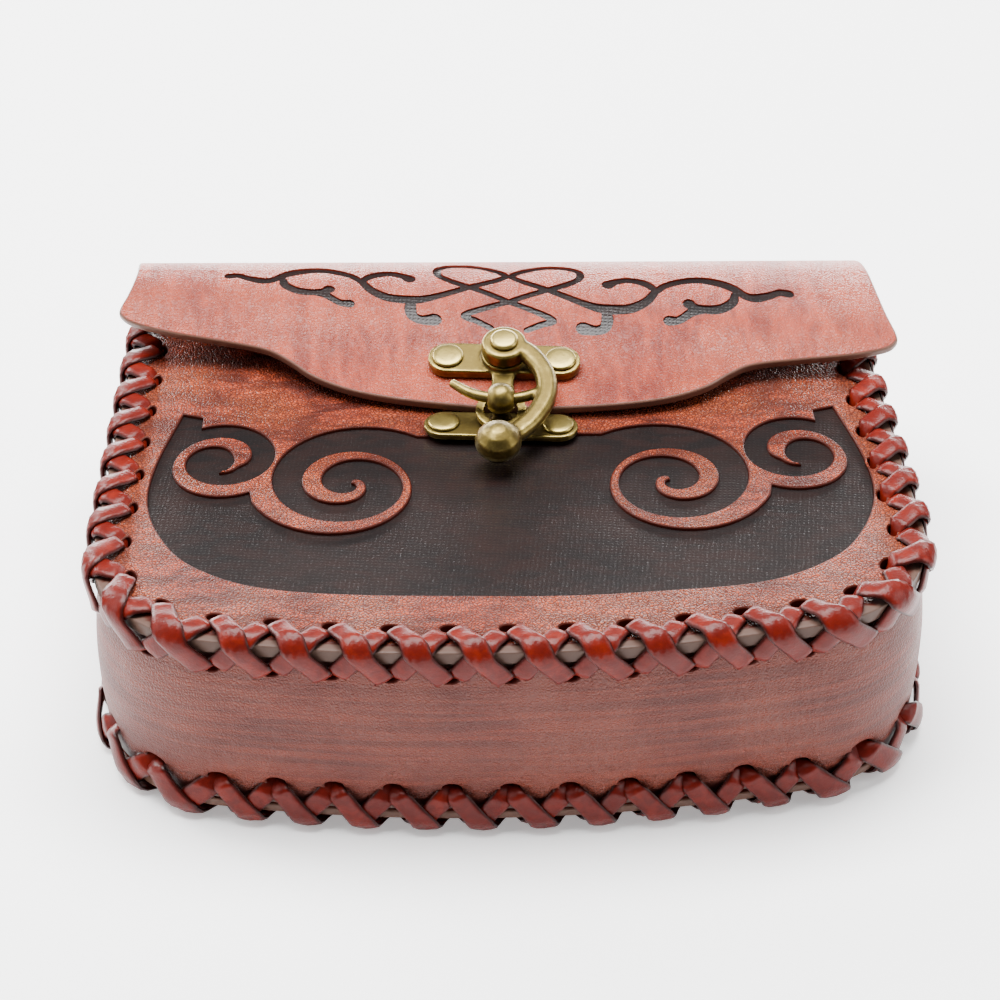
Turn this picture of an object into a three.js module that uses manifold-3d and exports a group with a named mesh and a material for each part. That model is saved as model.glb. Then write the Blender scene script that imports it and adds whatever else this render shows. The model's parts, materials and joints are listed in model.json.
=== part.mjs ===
// Belt pouch of laced leather, lying on its back, in millimetres with +Z up.
// +X is across the pouch, -Y is its rounded bottom, +Y is the fold over its mouth.

import * as THREE from 'three';
import { mergeVertices } from 'three/addons/utils/BufferGeometryUtils.js';
import Module from 'manifold-3d';

const wasm = await Module();
wasm.setup();

// Outline, followed along the lacing holes from the middle of the bottom to the mouth
const lacePitch = 12;
const laceUnits = 30;
const bottomArc = 62;
const bottomRadius = 302;
const cornerArc = 34;
const cornerRadius = 23.8;
const seamEdge = 7;

// Leather
const pouchDepth = 46.7;
const panelThick = 3;
const gussetThick = 2.6;
const gussetBulge = 1.5;
const flapThick = 2.2;
const edgeRound = 0.7;
const clearance = 0.3;

// Lacing
const laceHalfWidth = 3.3;
const laceLayer = 2.2;
const gussetHoleDrop = 8.6;
const laceBend = 1.2;

// Back panel, fold and flap
const backHollow = 5.8;
const hollowMargin = 11;
const foldRadius = 16;
const flapLength = 42;
const flapHalfWidth = 87;
const flapRise = 8.5;
const flapShift = 2;
const flapSkew = 0.08;
const flapTwist = 0.018;
const foldSkew = 0.028;

// Dark scroll figure of the front panel
const figureHalfWidth = 77.4;
const figureLength = 66.8;
const figureInset = 10;
const figureShift = 0.8;
const figureTurn = -1.1;
const recessDepth = 1.7;
const inlayThick = 0.8;

// Swing clasp
const claspFromTip = 12.9;
const claspShift = -1.1;
const claspCentre = -0.2;
const postCentre = -1;
const plateLength = 34;
const plateWidth = 9;
const upperPlateThick = 2.4;
const lowerPlateThick = 1.6;
const bossRise = 1.4;
const rivetSpacing = 25;
const rivetRadius = 3.5;
const rivetRise = 0.8;
const armWidth = 4.5;
const armThick = 3.4;
const armEye = 5;
const armBow = 9.8;
const handleReach = 29.1;
const pivotRadius = 1.3;
const pivotHead = 3.1;
const pivotRise = 0.9;
const prongReach = 16;
const prongThick = 2.5;
const prongTip = 44;
const ringWidth = 1.9;
const ringThick = 1.5;
const ringLift = 1.1;
const neckWidth = 3.2;
const postBall = 3.4;
const postNeck = 1.9;
const knobRadius = 5.1;

// Belt loops
const loopWidth = 28;
const loopThick = 2;
const loopSpacing = 64;
const loopMiddle = 58;
const loopFlat = 36;
const loopSlope = 8;
const loopTab = 12;

// Derived places
const backLevel = laceLayer + clearance;
const panelTop = backLevel + pouchDepth;
const hemLength = laceUnits / 2 * lacePitch;
const foldRise = flapThick + flapRise;
const degree = Math.PI / 180;
const turnedSides = 16;

const leather = new THREE.MeshStandardMaterial({ color: 0x93452f, roughness: 0.42 });
const gussetLeather = new THREE.MeshStandardMaterial({ color: 0x6f3a31, roughness: 0.4 });
const darkLeather = new THREE.MeshStandardMaterial({ color: 0x2c2426, roughness: 0.38 });
const laceLeather = new THREE.MeshStandardMaterial({ color: 0x7a221a, roughness: 0.28 });
const brass = new THREE.MeshStandardMaterial({ color: 0x8d8148, roughness: 0.36, metalness: 0.9 });

const pouch = new THREE.Group();

// A point of the hem at a signed length from the middle of the bottom, and an offset outwards
function hemPoint(length, offset = 0) {
  const side = Math.sign(length);
  const along = Math.abs(length);
  const bottomTurn = Math.min(along, bottomArc) / bottomRadius;
  const cornerTurn = Math.min(Math.max(along - bottomArc, 0), cornerArc) / cornerRadius;
  const straight = Math.max(along - bottomArc - cornerArc, 0);
  const turn = bottomTurn + cornerTurn;
  let x = bottomRadius * Math.sin(bottomTurn);
  let y = bottomRadius * (1 - Math.cos(bottomTurn));
  x += cornerRadius * (Math.sin(turn) - Math.sin(bottomTurn));
  y += cornerRadius * (Math.cos(bottomTurn) - Math.cos(turn));
  x += straight * Math.cos(turn) + offset * Math.sin(turn);
  y += straight * Math.sin(turn) - offset * Math.cos(turn);
  return new THREE.Vector2(side * x, y);
}

const mouthAlong = hemPoint(hemLength).y;

// Lengths along the hem: close together round the corners, two laces apart elsewhere
function hemStations() {
  const stations = [];
  for (let step = -laceUnits; step <= laceUnits; step += 1) {
    const length = step * lacePitch / 2;
    const inCorner = Math.abs(length) > bottomArc - lacePitch / 2
      && Math.abs(length) < bottomArc + cornerArc + lacePitch / 2;
    if (inCorner || step % 2 === 0) stations.push(length);
  }
  return stations;
}

function smooth(value) {
  const t = Math.min(Math.max(value, 0), 1);
  return t * t * (3 - 2 * t);
}

function addPiece(name, geometry, material, parent = pouch) {
  const mesh = new THREE.Mesh(geometry, material);
  mesh.name = name;
  parent.add(mesh);
  return mesh;
}

// A sheet of leather: triangles over an outer and an inner face, closed along every free edge
function closedSheet(triangles, outer, inner) {
  const count = outer.length;
  const edges = new Map();
  const index = [];
  for (const [a, b, c] of triangles) {
    index.push(a, b, c, count + a, count + c, count + b);
    edges.set(`${a} ${b}`, [a, b]);
    edges.set(`${b} ${c}`, [b, c]);
    edges.set(`${c} ${a}`, [c, a]);
  }
  for (const [a, b] of edges.values()) {
    if (edges.has(`${b} ${a}`)) continue;
    index.push(b, a, count + a, b, count + a, count + b);
  }
  const geometry = new THREE.BufferGeometry().setFromPoints([...outer, ...inner]);
  geometry.setIndex(index);
  return geometry;
}

// Triangles of a grid of rows and columns, seen from the side where rows x columns turn left
function gridTriangles(rows, columns) {
  const triangles = [];
  for (let row = 0; row < rows - 1; row += 1) {
    for (let column = 0; column < columns - 1; column += 1) {
      const a = row * columns + column;
      triangles.push([a, a + 1, a + columns + 1], [a, a + columns + 1, a + columns]);
    }
  }
  return triangles;
}

function toSolid(geometry) {
  geometry.deleteAttribute('normal');
  geometry.deleteAttribute('uv');
  const merged = mergeVertices(geometry);
  const vertProperties = new Float32Array(merged.attributes.position.array);
  const triVerts = new Uint32Array(merged.index.array);
  return new wasm.Manifold(new wasm.Mesh({ numProp: 3, vertProperties, triVerts }));
}

function fromSolid(solid) {
  const { vertProperties, triVerts } = solid.getMesh();
  const geometry = new THREE.BufferGeometry();
  geometry.setAttribute('position', new THREE.BufferAttribute(vertProperties, 3));
  geometry.setIndex(new THREE.BufferAttribute(triVerts, 1));
  return geometry;
}

function joined(geometries) {
  return fromSolid(geometries.map(toSolid).reduce((whole, piece) => whole.add(piece)));
}

function turnedPiece(profile, sides) {
  const points = profile.map(([radius, height]) => new THREE.Vector2(radius, height));
  return new THREE.LatheGeometry(points, sides).rotateX(Math.PI / 2);
}

// Front panel, with the scroll figure sunk into it for the dark leather
function panelShape() {
  const outline = hemStations().map((length) => hemPoint(length, seamEdge - edgeRound));
  return new THREE.Shape(outline);
}

// Spiral stretches of the figure: centre as shares of its half width and length, angles in
// degrees, and radii at even turns as shares of the half width
const figureSpirals = [
  {
    across: 0.815, along: 0.749, from: 69, to: 627,
    radii: [0.155, 0.16, 0.133, 0.093, 0.056, 0.042, 0.07],
  },
  {
    across: 0.776, along: 0.729, from: -54, to: -470,
    radii: [0.065, 0.032, 0.052, 0.1, 0.149, 0.177, 0.157],
  },
  {
    across: 0.46, along: 0.593, from: -9, to: -542,
    radii: [0.27, 0.222, 0.182, 0.148, 0.116, 0.086, 0.056],
  },
  {
    across: 0.444, along: 0.596, from: 169, to: 850,
    radii: [0.015, 0.049, 0.091, 0.133, 0.174, 0.224, 0.288],
  },
];

// Knots of the figure's outer edge, from the middle of the bottom to its pointed tip
const figureEdge = [
  { across: 0, along: 0 },
  { across: 0.36, along: 0.014 },
  { across: 0.67, along: 0.061 },
  { across: 0.858, along: 0.173 },
  { across: 0.952, along: 0.321 },
  { across: 1, along: 0.512 },
  { across: 0.987, along: 0.726 },
  { across: 0.926, along: 1 },
];

// The horn ends in a short edge, down to this corner
const hornCorner = { across: 0.868, along: 0.975 };

function figurePoint({ across, along }) {
  return new THREE.Vector2(across * figureHalfWidth, figureInset + along * figureLength);
}

function spiralPoints({ across, along, from, to, radii }, steps) {
  const centre = figurePoint({ across, along });
  const knots = radii.map((radius, k) => new THREE.Vector2(k / (radii.length - 1), radius));
  const curve = new THREE.SplineCurve(knots);
  const points = [];
  for (let step = 0; step <= steps; step += 1) {
    const share = step / steps;
    const angle = (from + (to - from) * share) * degree;
    const radius = curve.getPoint(share).y * figureHalfWidth;
    const reach = new THREE.Vector2(Math.cos(angle), Math.sin(angle)).multiplyScalar(radius);
    points.push(centre.clone().add(reach));
  }
  return points;
}

// The round end of the wide leather tongue, from the last point of one edge to the next edge
function tongueEnd(edge, next) {
  const last = edge[edge.length - 1];
  const middle = last.clone().add(next).divideScalar(2);
  const reach = last.clone().sub(middle);
  const ahead = last.clone().sub(edge[edge.length - 2]).setLength(reach.length());
  return [45, 90, 135].map((turn) => middle.clone()
    .addScaledVector(reach, Math.cos(turn * degree))
    .addScaledVector(ahead, Math.sin(turn * degree)));
}

function figureOutline() {
  const half = new THREE.SplineCurve(figureEdge.map(figurePoint)).getPoints(14);
  half.push(figurePoint(hornCorner));
  figureSpirals.forEach((spiral, order) => {
    const turns = Math.abs(spiral.to - spiral.from) / 360;
    const points = spiralPoints(spiral, Math.round(turns * 9));
    if (order === figureSpirals.length - 1) half.push(...tongueEnd(half, points[0]), points[0]);
    half.push(...(order === 0 ? points : points.slice(1)));
  });
  const mirrored = half.slice(1).reverse().map((point) => new THREE.Vector2(-point.x, point.y));
  const shift = new THREE.Vector2(figureShift, 0);
  const centre = new THREE.Vector2(0, figureInset + figureLength / 2);
  return [...half, ...mirrored].map((point) => {
    return point.clone().rotateAround(centre, figureTurn * degree).add(shift);
  });
}

// The same outline drawn in by a gap, each corner moved along the mean of its two normals
function drawnIn(points, gap) {
  return points.map((point, k) => {
    const before = points[(k + points.length - 1) % points.length];
    const after = points[(k + 1) % points.length];
    const along = after.clone().sub(before).normalize();
    return new THREE.Vector2(point.x - along.y * gap, point.y + along.x * gap);
  });
}

function buildFrontPanel() {
  const board = new THREE.ExtrudeGeometry(panelShape(), {
    depth: panelThick - 2 * edgeRound, bevelSize: edgeRound, bevelThickness: edgeRound,
    bevelSegments: 1, steps: 1,
  });
  board.translate(0, 0, panelTop - panelThick + edgeRound);
  const outline = figureOutline();
  const cutter = new THREE.ExtrudeGeometry(new THREE.Shape(outline), {
    depth: recessDepth + clearance, bevelEnabled: false,
  });
  cutter.translate(0, 0, panelTop - recessDepth);
  addPiece('front_panel', fromSolid(toSolid(board).subtract(toSolid(cutter))), leather);
  const inlay = new THREE.ExtrudeGeometry(new THREE.Shape(drawnIn(outline, clearance)), {
    depth: inlayThick, bevelEnabled: false,
  });
  inlay.translate(0, 0, panelTop - recessDepth + clearance);
  addPiece('front_inlay', inlay, darkLeather);
}

// Gusset: the wall between the panels, bowed out a little at half its height
function buildGusset() {
  const stations = hemStations();
  const low = backLevel + flapThick + clearance;
  const high = panelTop - panelThick - clearance;
  const levels = [0, 0.25, 0.5, 0.75, 1];
  const outer = [];
  const inner = [];
  for (const level of levels) {
    const z = low + (high - low) * level;
    const bow = gussetBulge * Math.sin(Math.PI * level);
    for (const length of stations) {
      const out = hemPoint(length, seamEdge - edgeRound + bow);
      const back = hemPoint(length, seamEdge - edgeRound + bow - gussetThick);
      outer.push(new THREE.Vector3(out.x, out.y, z));
      inner.push(new THREE.Vector3(back.x, back.y, z));
    }
  }
  const triangles = gridTriangles(levels.length, stations.length);
  addPiece('gusset', closedSheet(triangles, outer, inner), gussetLeather);
}

// Lacing: one lattice of crossed laces per seam, wrapped round the edge of the leather.
// A row of the lattice gives how far down the lace it lies, from the panel's hole to the gusset's.
function laceLevels() {
  const across = seamEdge - laceBend;
  const bend = laceBend * Math.PI / 2;
  const total = across + bend + gussetHoleDrop - laceBend;
  const middle = total / 2;
  const spread = lacePitch / 2;
  const notch = middle * laceHalfWidth / spread;
  const window = middle * (spread - laceHalfWidth) / spread;
  const levels = [0, middle - notch, middle - window, across, across + bend / 2, across + bend,
    middle + window, middle + notch, total];
  return { levels, middle };
}

// The lattice's places across one unit at a level, one list for each lace or for both together
function laceSpans(level, middle, withCentre) {
  const spread = lacePitch / 2;
  const apart = Math.abs(level - middle) / middle * spread;
  const tiny = 1e-6;
  if (apart > laceHalfWidth + tiny) {
    const notch = apart - laceHalfWidth;
    return [[0, spread - notch], [spread + notch, lacePitch]];
  }
  const edge = Math.max(spread - apart - laceHalfWidth, 0);
  return [withCentre ? [edge, spread, lacePitch - edge] : [edge, lacePitch - edge]];
}

// Place on the outer or inner face of the lacing, from the length along the hem and the level
function lacePlace(length, level, lift) {
  const across = seamEdge - laceBend;
  const turn = Math.min(Math.max((level - across) / laceBend, 0), Math.PI / 2);
  const bendEnd = across + laceBend * Math.PI / 2;
  const offset = Math.min(level, across) + (laceBend + lift) * Math.sin(turn);
  const drop = Math.max(level - bendEnd, 0) + laceBend - (laceBend + lift) * Math.cos(turn);
  return { offset, drop, length };
}

// Triangles between two rows of points that run the same way
function zipRows(upper, lower, keep) {
  const triangles = [];
  let a = 0;
  let b = 0;
  while (a < upper.length - 1 || b < lower.length - 1) {
    const stepUpper = b === lower.length - 1
      || (a < upper.length - 1 && upper[a + 1].across <= lower[b + 1].across);
    if (stepUpper) {
      triangles.push([keep(upper[a]), keep(lower[b]), keep(upper[a + 1])]);
      a += 1;
    } else {
      triangles.push([keep(upper[a]), keep(lower[b]), keep(lower[b + 1])]);
      b += 1;
    }
  }
  return triangles;
}

function buildLacing(name, place) {
  const { levels, middle } = laceLevels();
  const ids = new Map();
  const outer = [];
  const inner = [];
  const keep = ({ row, across }) => {
    const key = `${row} ${across.toFixed(4)}`;
    if (!ids.has(key)) {
      ids.set(key, outer.length);
      outer.push(place(across, levels[row], clearance + laceLayer));
      inner.push(place(across, levels[row], clearance));
    }
    return ids.get(key);
  };
  const triangles = [];
  for (let unit = 0; unit < laceUnits; unit += 1) {
    const start = -hemLength + unit * lacePitch;
    const centre = Math.abs(start + lacePitch / 2);
    const inCorner = centre > bottomArc - lacePitch && centre < bottomArc + cornerArc + lacePitch;
    for (let row = 0; row < levels.length - 1; row += 1) {
      let above = laceSpans(levels[row], middle, inCorner);
      let below = laceSpans(levels[row + 1], middle, inCorner);
      if (above.length === 2) below = [[0, lacePitch / 2], [lacePitch / 2, lacePitch]];
      else if (below.length === 2) above = [[0, lacePitch / 2], [lacePitch / 2, lacePitch]];
      else if (row === 1) above = [[0, lacePitch / 2, lacePitch]];
      else if (row === levels.length - 3) below = [[0, lacePitch / 2, lacePitch]];
      above.forEach((span, lace) => {
        const upper = span.map((across) => ({ row, across: start + across }));
        const lower = below[lace].map((across) => ({ row: row + 1, across: start + across }));
        triangles.push(...zipRows(upper, lower, keep));
      });
    }
  }
  addPiece(name, closedSheet(triangles, outer, inner), laceLeather);
}

function frontLacePlace(length, level, lift) {
  const { offset, drop } = lacePlace(length, level, lift);
  const point = hemPoint(length, offset);
  return new THREE.Vector3(point.x, point.y, panelTop - drop);
}

function backLacePlace(length, level, lift) {
  const { offset, drop } = lacePlace(-length, level, lift);
  const point = hemPoint(-length, offset);
  return new THREE.Vector3(point.x, point.y, backLevel + drop);
}

// Back panel, fold and flap in one leather.
// Sections of the flap from the fold to the tongue: shares of its length, half width and rise
const flapSections = [
  { along: 0, width: 0.958, rise: 1 },
  { along: 0.12, width: 0.966, rise: 0.98 },
  { along: 0.28, width: 0.982, rise: 0.87 },
  { along: 0.4, width: 1, rise: 0.72 },
  { along: 0.45, width: 0.994, rise: 0.64 },
  { along: 0.495, width: 0.96, rise: 0.56 },
  { along: 0.54, width: 0.87, rise: 0.47 },
  { along: 0.58, width: 0.74, rise: 0.4 },
  { along: 0.625, width: 0.625, rise: 0.34 },
  { along: 0.7, width: 0.56, rise: 0.26 },
  { along: 0.81, width: 0.495, rise: 0.175 },
  { along: 0.9, width: 0.4, rise: 0.105 },
  { along: 0.96, width: 0.27, rise: 0.06 },
  { along: 1, width: 0.1, rise: 0.03 },
];

// Outer face of the flap at a distance across from its middle and a share of its length
function flapPoint(across, along) {
  const after = flapSections.findIndex((section) => section.along >= along);
  const far = flapSections[Math.max(after - 1, 0)];
  const near = flapSections[after];
  const share = far === near ? 0 : (along - far.along) / (near.along - far.along);
  const rise = far.rise + (near.rise - far.rise) * share;
  const skew = foldSkew + (flapSkew - foldSkew) * smooth(along / 0.5);
  const loose = smooth((1 - along) / 0.6);
  return new THREE.Vector3(
    across + flapShift,
    mouthAlong - along * flapLength - skew * across,
    panelTop + flapThick + 2 * clearance + rise * flapRise - flapTwist * loose * across,
  );
}

// Shares of a section's half width where the sheet has its columns
const sheetColumns = [1, 0.92, 0.8, 0.6, 0.3, 0, -0.3, -0.6, -0.8, -0.92, -1];

// The back panel is pressed in over the belt loops, clear of the gusset that stands on it
function backHeight(share, y) {
  const start = hollowMargin - seamEdge;
  const acrossShare = 1 - Math.min(Math.abs(share) / sheetColumns[1], 1) ** 4;
  const alongShare = 1 - Math.min(Math.abs(2 * (y - start) / (mouthAlong - start) - 1), 1) ** 4;
  return backHollow * acrossShare * alongShare;
}

function buildBackAndFlap() {
  const foldHalf = hemPoint(hemLength, seamEdge - edgeRound).x;
  const farHalf = flapHalfWidth * flapSections[0].width;
  const sections = [];
  for (const length of hemStations().filter((value) => value > 0)) {
    const { x, y } = hemPoint(length, seamEdge - edgeRound);
    const outer = (share) => new THREE.Vector3(share * x, y, backLevel + backHeight(share, y));
    sections.push({ turn: 0, outer });
  }
  for (const share of [0, 0.25, 0.5, 0.75, 1]) {
    const turn = share * Math.PI / 2;
    const y = mouthAlong + foldRadius * Math.sin(turn);
    const z = backLevel + foldRadius * (1 - Math.cos(turn));
    sections.push({ turn, outer: (across) => new THREE.Vector3(across * foldHalf, y, z) });
  }
  for (const share of [0, 0.25, 0.5, 0.75]) {
    const turn = (1 + share) * Math.PI / 2;
    const half = foldHalf + (farHalf - foldHalf) * share;
    const outer = (across) => {
      const edge = flapPoint(across * half, 0);
      edge.x += (share - 1) * flapShift;
      edge.y = mouthAlong + foldRadius * Math.sin(turn) + (edge.y - mouthAlong) * share;
      const rise = (edge.z - panelTop) * share + foldRise * (1 - share);
      edge.z = panelTop + rise - foldRadius * (1 + Math.cos(turn));
      return edge;
    };
    sections.push({ turn, outer });
  }
  for (const { along, width } of flapSections) {
    const outer = (share) => flapPoint(share * width * flapHalfWidth, along);
    sections.push({ turn: Math.PI, outer });
  }
  const outer = [];
  const inner = [];
  for (const section of sections) {
    const inward = new THREE.Vector3(0, -Math.sin(section.turn), Math.cos(section.turn));
    for (const share of sheetColumns) {
      const point = section.outer(share);
      outer.push(point);
      inner.push(point.clone().addScaledVector(inward, flapThick));
    }
  }
  const triangles = gridTriangles(sections.length, sheetColumns.length);
  addPiece('back_and_flap', closedSheet(triangles, outer, inner), leather);
}

// Swing clasp. Its upper pieces stand in the frame of the flap at the arm's pivot, and the
// lower plate in a frame of the front panel below the post.
function makeFlapFrame() {
  const along = 1 - claspFromTip / flapLength;
  const seat = plateWidth / 2 / flapLength;
  const origin = flapPoint(claspShift, along);
  const across = flapPoint(claspShift + 1, along).sub(origin).normalize();
  const up = flapPoint(claspShift, along - seat).sub(flapPoint(claspShift, along + seat));
  const normal = across.clone().cross(up).normalize();
  const frame = new THREE.Group();
  const turn = new THREE.Matrix4().makeBasis(across, normal.clone().cross(across), normal);
  frame.setRotationFromMatrix(turn);
  frame.position.copy(origin).addScaledVector(normal, clearance);
  frame.updateMatrix();
  pouch.add(frame);
  return frame;
}

function stadium(length, width) {
  const shape = new THREE.Shape();
  const reach = (length - width) / 2;
  shape.absarc(reach, 0, width / 2, -Math.PI / 2, Math.PI / 2);
  shape.absarc(-reach, 0, width / 2, Math.PI / 2, 1.5 * Math.PI);
  return shape;
}

function plateBody(thick) {
  const edge = thick / 4;
  const size = { depth: thick - 2 * edge, bevelSize: edge, bevelThickness: edge };
  return new THREE.ExtrudeGeometry(stadium(plateLength - 2 * edge, plateWidth - 2 * edge), {
    ...size, bevelSegments: 1, curveSegments: 6,
  }).translate(0, 0, edge);
}

function disc(radius, low, high, sides = turnedSides) {
  return turnedPiece([[0, low], [radius, low], [radius, high], [0, high]], sides);
}

function cut(body, ...tools) {
  return fromSolid(tools.map(toSolid).reduce((left, tool) => left.subtract(tool), toSolid(body)));
}

// A bar of oval section along a curve
function bar(curve, width, thick, steps, sides = 8) {
  const section = new THREE.Shape();
  section.absellipse(0, 0, thick / 2, width / 2, 0, 2 * Math.PI);
  return new THREE.ExtrudeGeometry(section, { extrudePath: curve, steps, curveSegments: sides / 2 });
}

function addRivets(name, seat, middle, parent) {
  const profile = [[0, 0], [rivetRadius, 0], [rivetRadius, rivetRise / 2],
    [rivetRadius - rivetRise / 2, rivetRise], [0, rivetRise]];
  ['left', 'right'].forEach((side, order) => {
    const head = addPiece(`${name}_rivet_${side}`, turnedPiece(profile, 14), brass, parent);
    head.position.set((order - 0.5) * rivetSpacing, middle, seat + clearance);
  });
}

// Levels of the clasp above the flap
const eyeLow = upperPlateThick + bossRise + clearance;
const eyeHigh = eyeLow + armThick;
const armMiddle = (eyeLow + eyeHigh) / 2;

function buildUpperPlate(frame) {
  const body = plateBody(upperPlateThick).translate(0, claspCentre, 0);
  const boss = disc(armEye, upperPlateThick / 2, upperPlateThick + bossRise);
  const ringHole = postBall + clearance;
  const ring = disc(ringHole + ringWidth, ringLift, ringLift + ringThick).translate(0, -prongReach, 0);
  const neckStart = claspCentre - plateWidth / 2 + 1;
  const neckEnd = -prongReach + ringHole + ringWidth / 2;
  const neck = new THREE.BoxGeometry(2 * neckWidth, neckStart - neckEnd, ringThick);
  neck.translate(0, (neckStart + neckEnd) / 2, ringLift + ringThick / 2);
  const pin = disc(pivotRadius + clearance, -1, upperPlateThick + bossRise + 1, 12);
  const opening = disc(ringHole, -1, ringLift + ringThick + 1).translate(0, -prongReach, 0);
  addPiece('upper_plate', cut(joined([body, boss, ring, neck]), pin, opening), brass, frame);
  addRivets('upper', upperPlateThick, claspCentre, frame);
}

function buildPivot(frame) {
  const top = eyeHigh + clearance;
  const profile = [[0, clearance], [pivotRadius, clearance], [pivotRadius, top], [pivotHead, top],
    [pivotHead, top + pivotRise / 2], [pivotHead - pivotRise / 2, top + pivotRise], [0, top + pivotRise]];
  addPiece('pivot_rivet', turnedPiece(profile, 14), brass, frame);
}

// Middle line of the arm, from its eye round the post to the handle, as shares of bow and reach
const armLine = [[0, 0], [0.5, 0.05], [0.92, 0.26], [1, 0.5], [0.72, 0.75], [0.25, 0.94], [0, 1]];

// The handle's knob, from its blunt foot to its domed top, as shares of its radius
const knobProfile = [[0, 0.36], [0.5, 0.36], [0.95, 0.95], [1, 1.2], [0.9, 1.58], [0.62, 1.88],
  [0.3, 2.04], [0, 2.08]];

function prongPoint(degrees) {
  const angle = degrees * degree;
  return new THREE.Vector3(prongReach * Math.sin(angle), -prongReach * Math.cos(angle), armMiddle);
}

function buildSwingArm(frame) {
  const line = armLine.map(([bow, reach]) => (
    new THREE.Vector3(bow * armBow, -reach * handleReach, armMiddle)));
  const hook = bar(new THREE.CatmullRomCurve3(line), armWidth, armThick, 14);
  const prongLine = [-prongTip, -prongTip / 2, 0, 16, 32].map(prongPoint);
  const prong = bar(new THREE.CatmullRomCurve3(prongLine), prongThick, prongThick, 10);
  const eye = turnedPiece([[0, eyeLow], [armEye, eyeLow], [armEye, eyeHigh - edgeRound],
    [armEye - edgeRound, eyeHigh], [0, eyeHigh]], 20);
  const knob = turnedPiece(knobProfile.map(([radius, height]) => (
    [radius * knobRadius, height * knobRadius])), turnedSides);
  knob.translate(0, -handleReach, 0);
  const pin = disc(pivotRadius + clearance, 0, eyeHigh + 1, 12);
  addPiece('swing_arm', cut(joined([eye, hook, prong, knob]), pin), brass, frame);
}

function buildLowerPlate(flapFrame) {
  const ball = prongPoint(0).applyMatrix4(flapFrame.matrix);
  const frame = new THREE.Group();
  frame.position.set(ball.x, ball.y, panelTop + clearance);
  frame.rotation.z = flapFrame.rotation.z;
  pouch.add(frame);
  const height = ball.z - frame.position.z;
  const neck = disc(postNeck, lowerPlateThick / 2, height, 12);
  const head = new THREE.SphereGeometry(postBall, 14, 10).rotateX(Math.PI / 2).translate(0, 0, height);
  const sag = postBall ** 2 / (2 * prongReach);
  const hole = disc(prongThick / 2 + sag + clearance, -2 * postBall, 2 * postBall, 12);
  hole.rotateY(Math.PI / 2).translate(0, sag / 2, height);
  const body = plateBody(lowerPlateThick).translate(0, postCentre, 0);
  addPiece('lower_plate', cut(joined([body, neck, head]), hole), brass, frame);
  addRivets('lower', lowerPlateThick, postCentre, frame);
}

// Belt loops: plain straps on the back, their tabs riveted under the pressed-in panel
function buildBeltLoops() {
  const farX = loopSpacing / 2 + loopWidth / 2;
  const share = farX / hemPoint(hemLength, seamEdge).x;
  const flatEnd = loopFlat / 2;
  const slopeEnd = flatEnd + loopSlope;
  const tabEnd = slopeEnd + loopTab;
  const heights = [-tabEnd, tabEnd].map((along) => backHeight(share, loopMiddle + along));
  const panel = Math.min(...heights);
  const tabLow = backLevel + panel - clearance - loopThick;
  const line = [[-tabEnd, tabLow], [-slopeEnd, tabLow], [-flatEnd, 0], [flatEnd, 0],
    [slopeEnd, tabLow], [tabEnd, tabLow]];
  ['left', 'right'].forEach((side, order) => {
    const middle = (order - 0.5) * loopSpacing;
    const outer = [];
    const inner = [];
    for (const [along, z] of line) {
      for (const x of [middle + loopWidth / 2, middle - loopWidth / 2]) {
        outer.push(new THREE.Vector3(x, loopMiddle + along, z));
        inner.push(new THREE.Vector3(x, loopMiddle + along, z + loopThick));
      }
    }
    addPiece(`belt_loop_${side}`, closedSheet(gridTriangles(line.length, 2), outer, inner), leather);
    ['low', 'high'].forEach((end, rank) => {
      const profile = [[0, -rivetRise], [rivetRadius, -rivetRise], [rivetRadius, 0], [0, 0]];
      const rivet = addPiece(`loop_rivet_${side}_${end}`, turnedPiece(profile, 12), brass);
      const reach = (rank - 0.5) * (slopeEnd + tabEnd);
      rivet.position.set(middle, loopMiddle + reach, tabLow - clearance);
    });
  });
}

buildFrontPanel();
buildGusset();
buildBackAndFlap();
buildLacing('lacing_front', frontLacePlace);
buildLacing('lacing_back', backLacePlace);
const flapFrame = makeFlapFrame();
buildUpperPlate(flapFrame);
buildPivot(flapFrame);
buildSwingArm(flapFrame);
buildLowerPlate(flapFrame);
buildBeltLoops();

// The origin is under the middle of the whole pouch, on the surface that it lies on
pouch.updateMatrixWorld(true);
const whole = new THREE.Box3().setFromObject(pouch, true);
const middle = whole.getCenter(new THREE.Vector3());
const origin = new THREE.Vector3(middle.x, middle.y, whole.min.z);
for (const piece of pouch.children) piece.position.sub(origin);

export default pouch;
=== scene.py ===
# %% [markdown]
# Medieval belt pouch, modelled as its leatherwork was made: every piece of leather is cut flat,
# with its openings and lacing holes, and is then bent into place. Lengths are in millimetres
# until a mesh is finished, because leather and brass are measured that way.

import json
import math
import random

import bmesh
import bpy
from mathutils import Matrix, Vector, kdtree, noise


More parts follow.
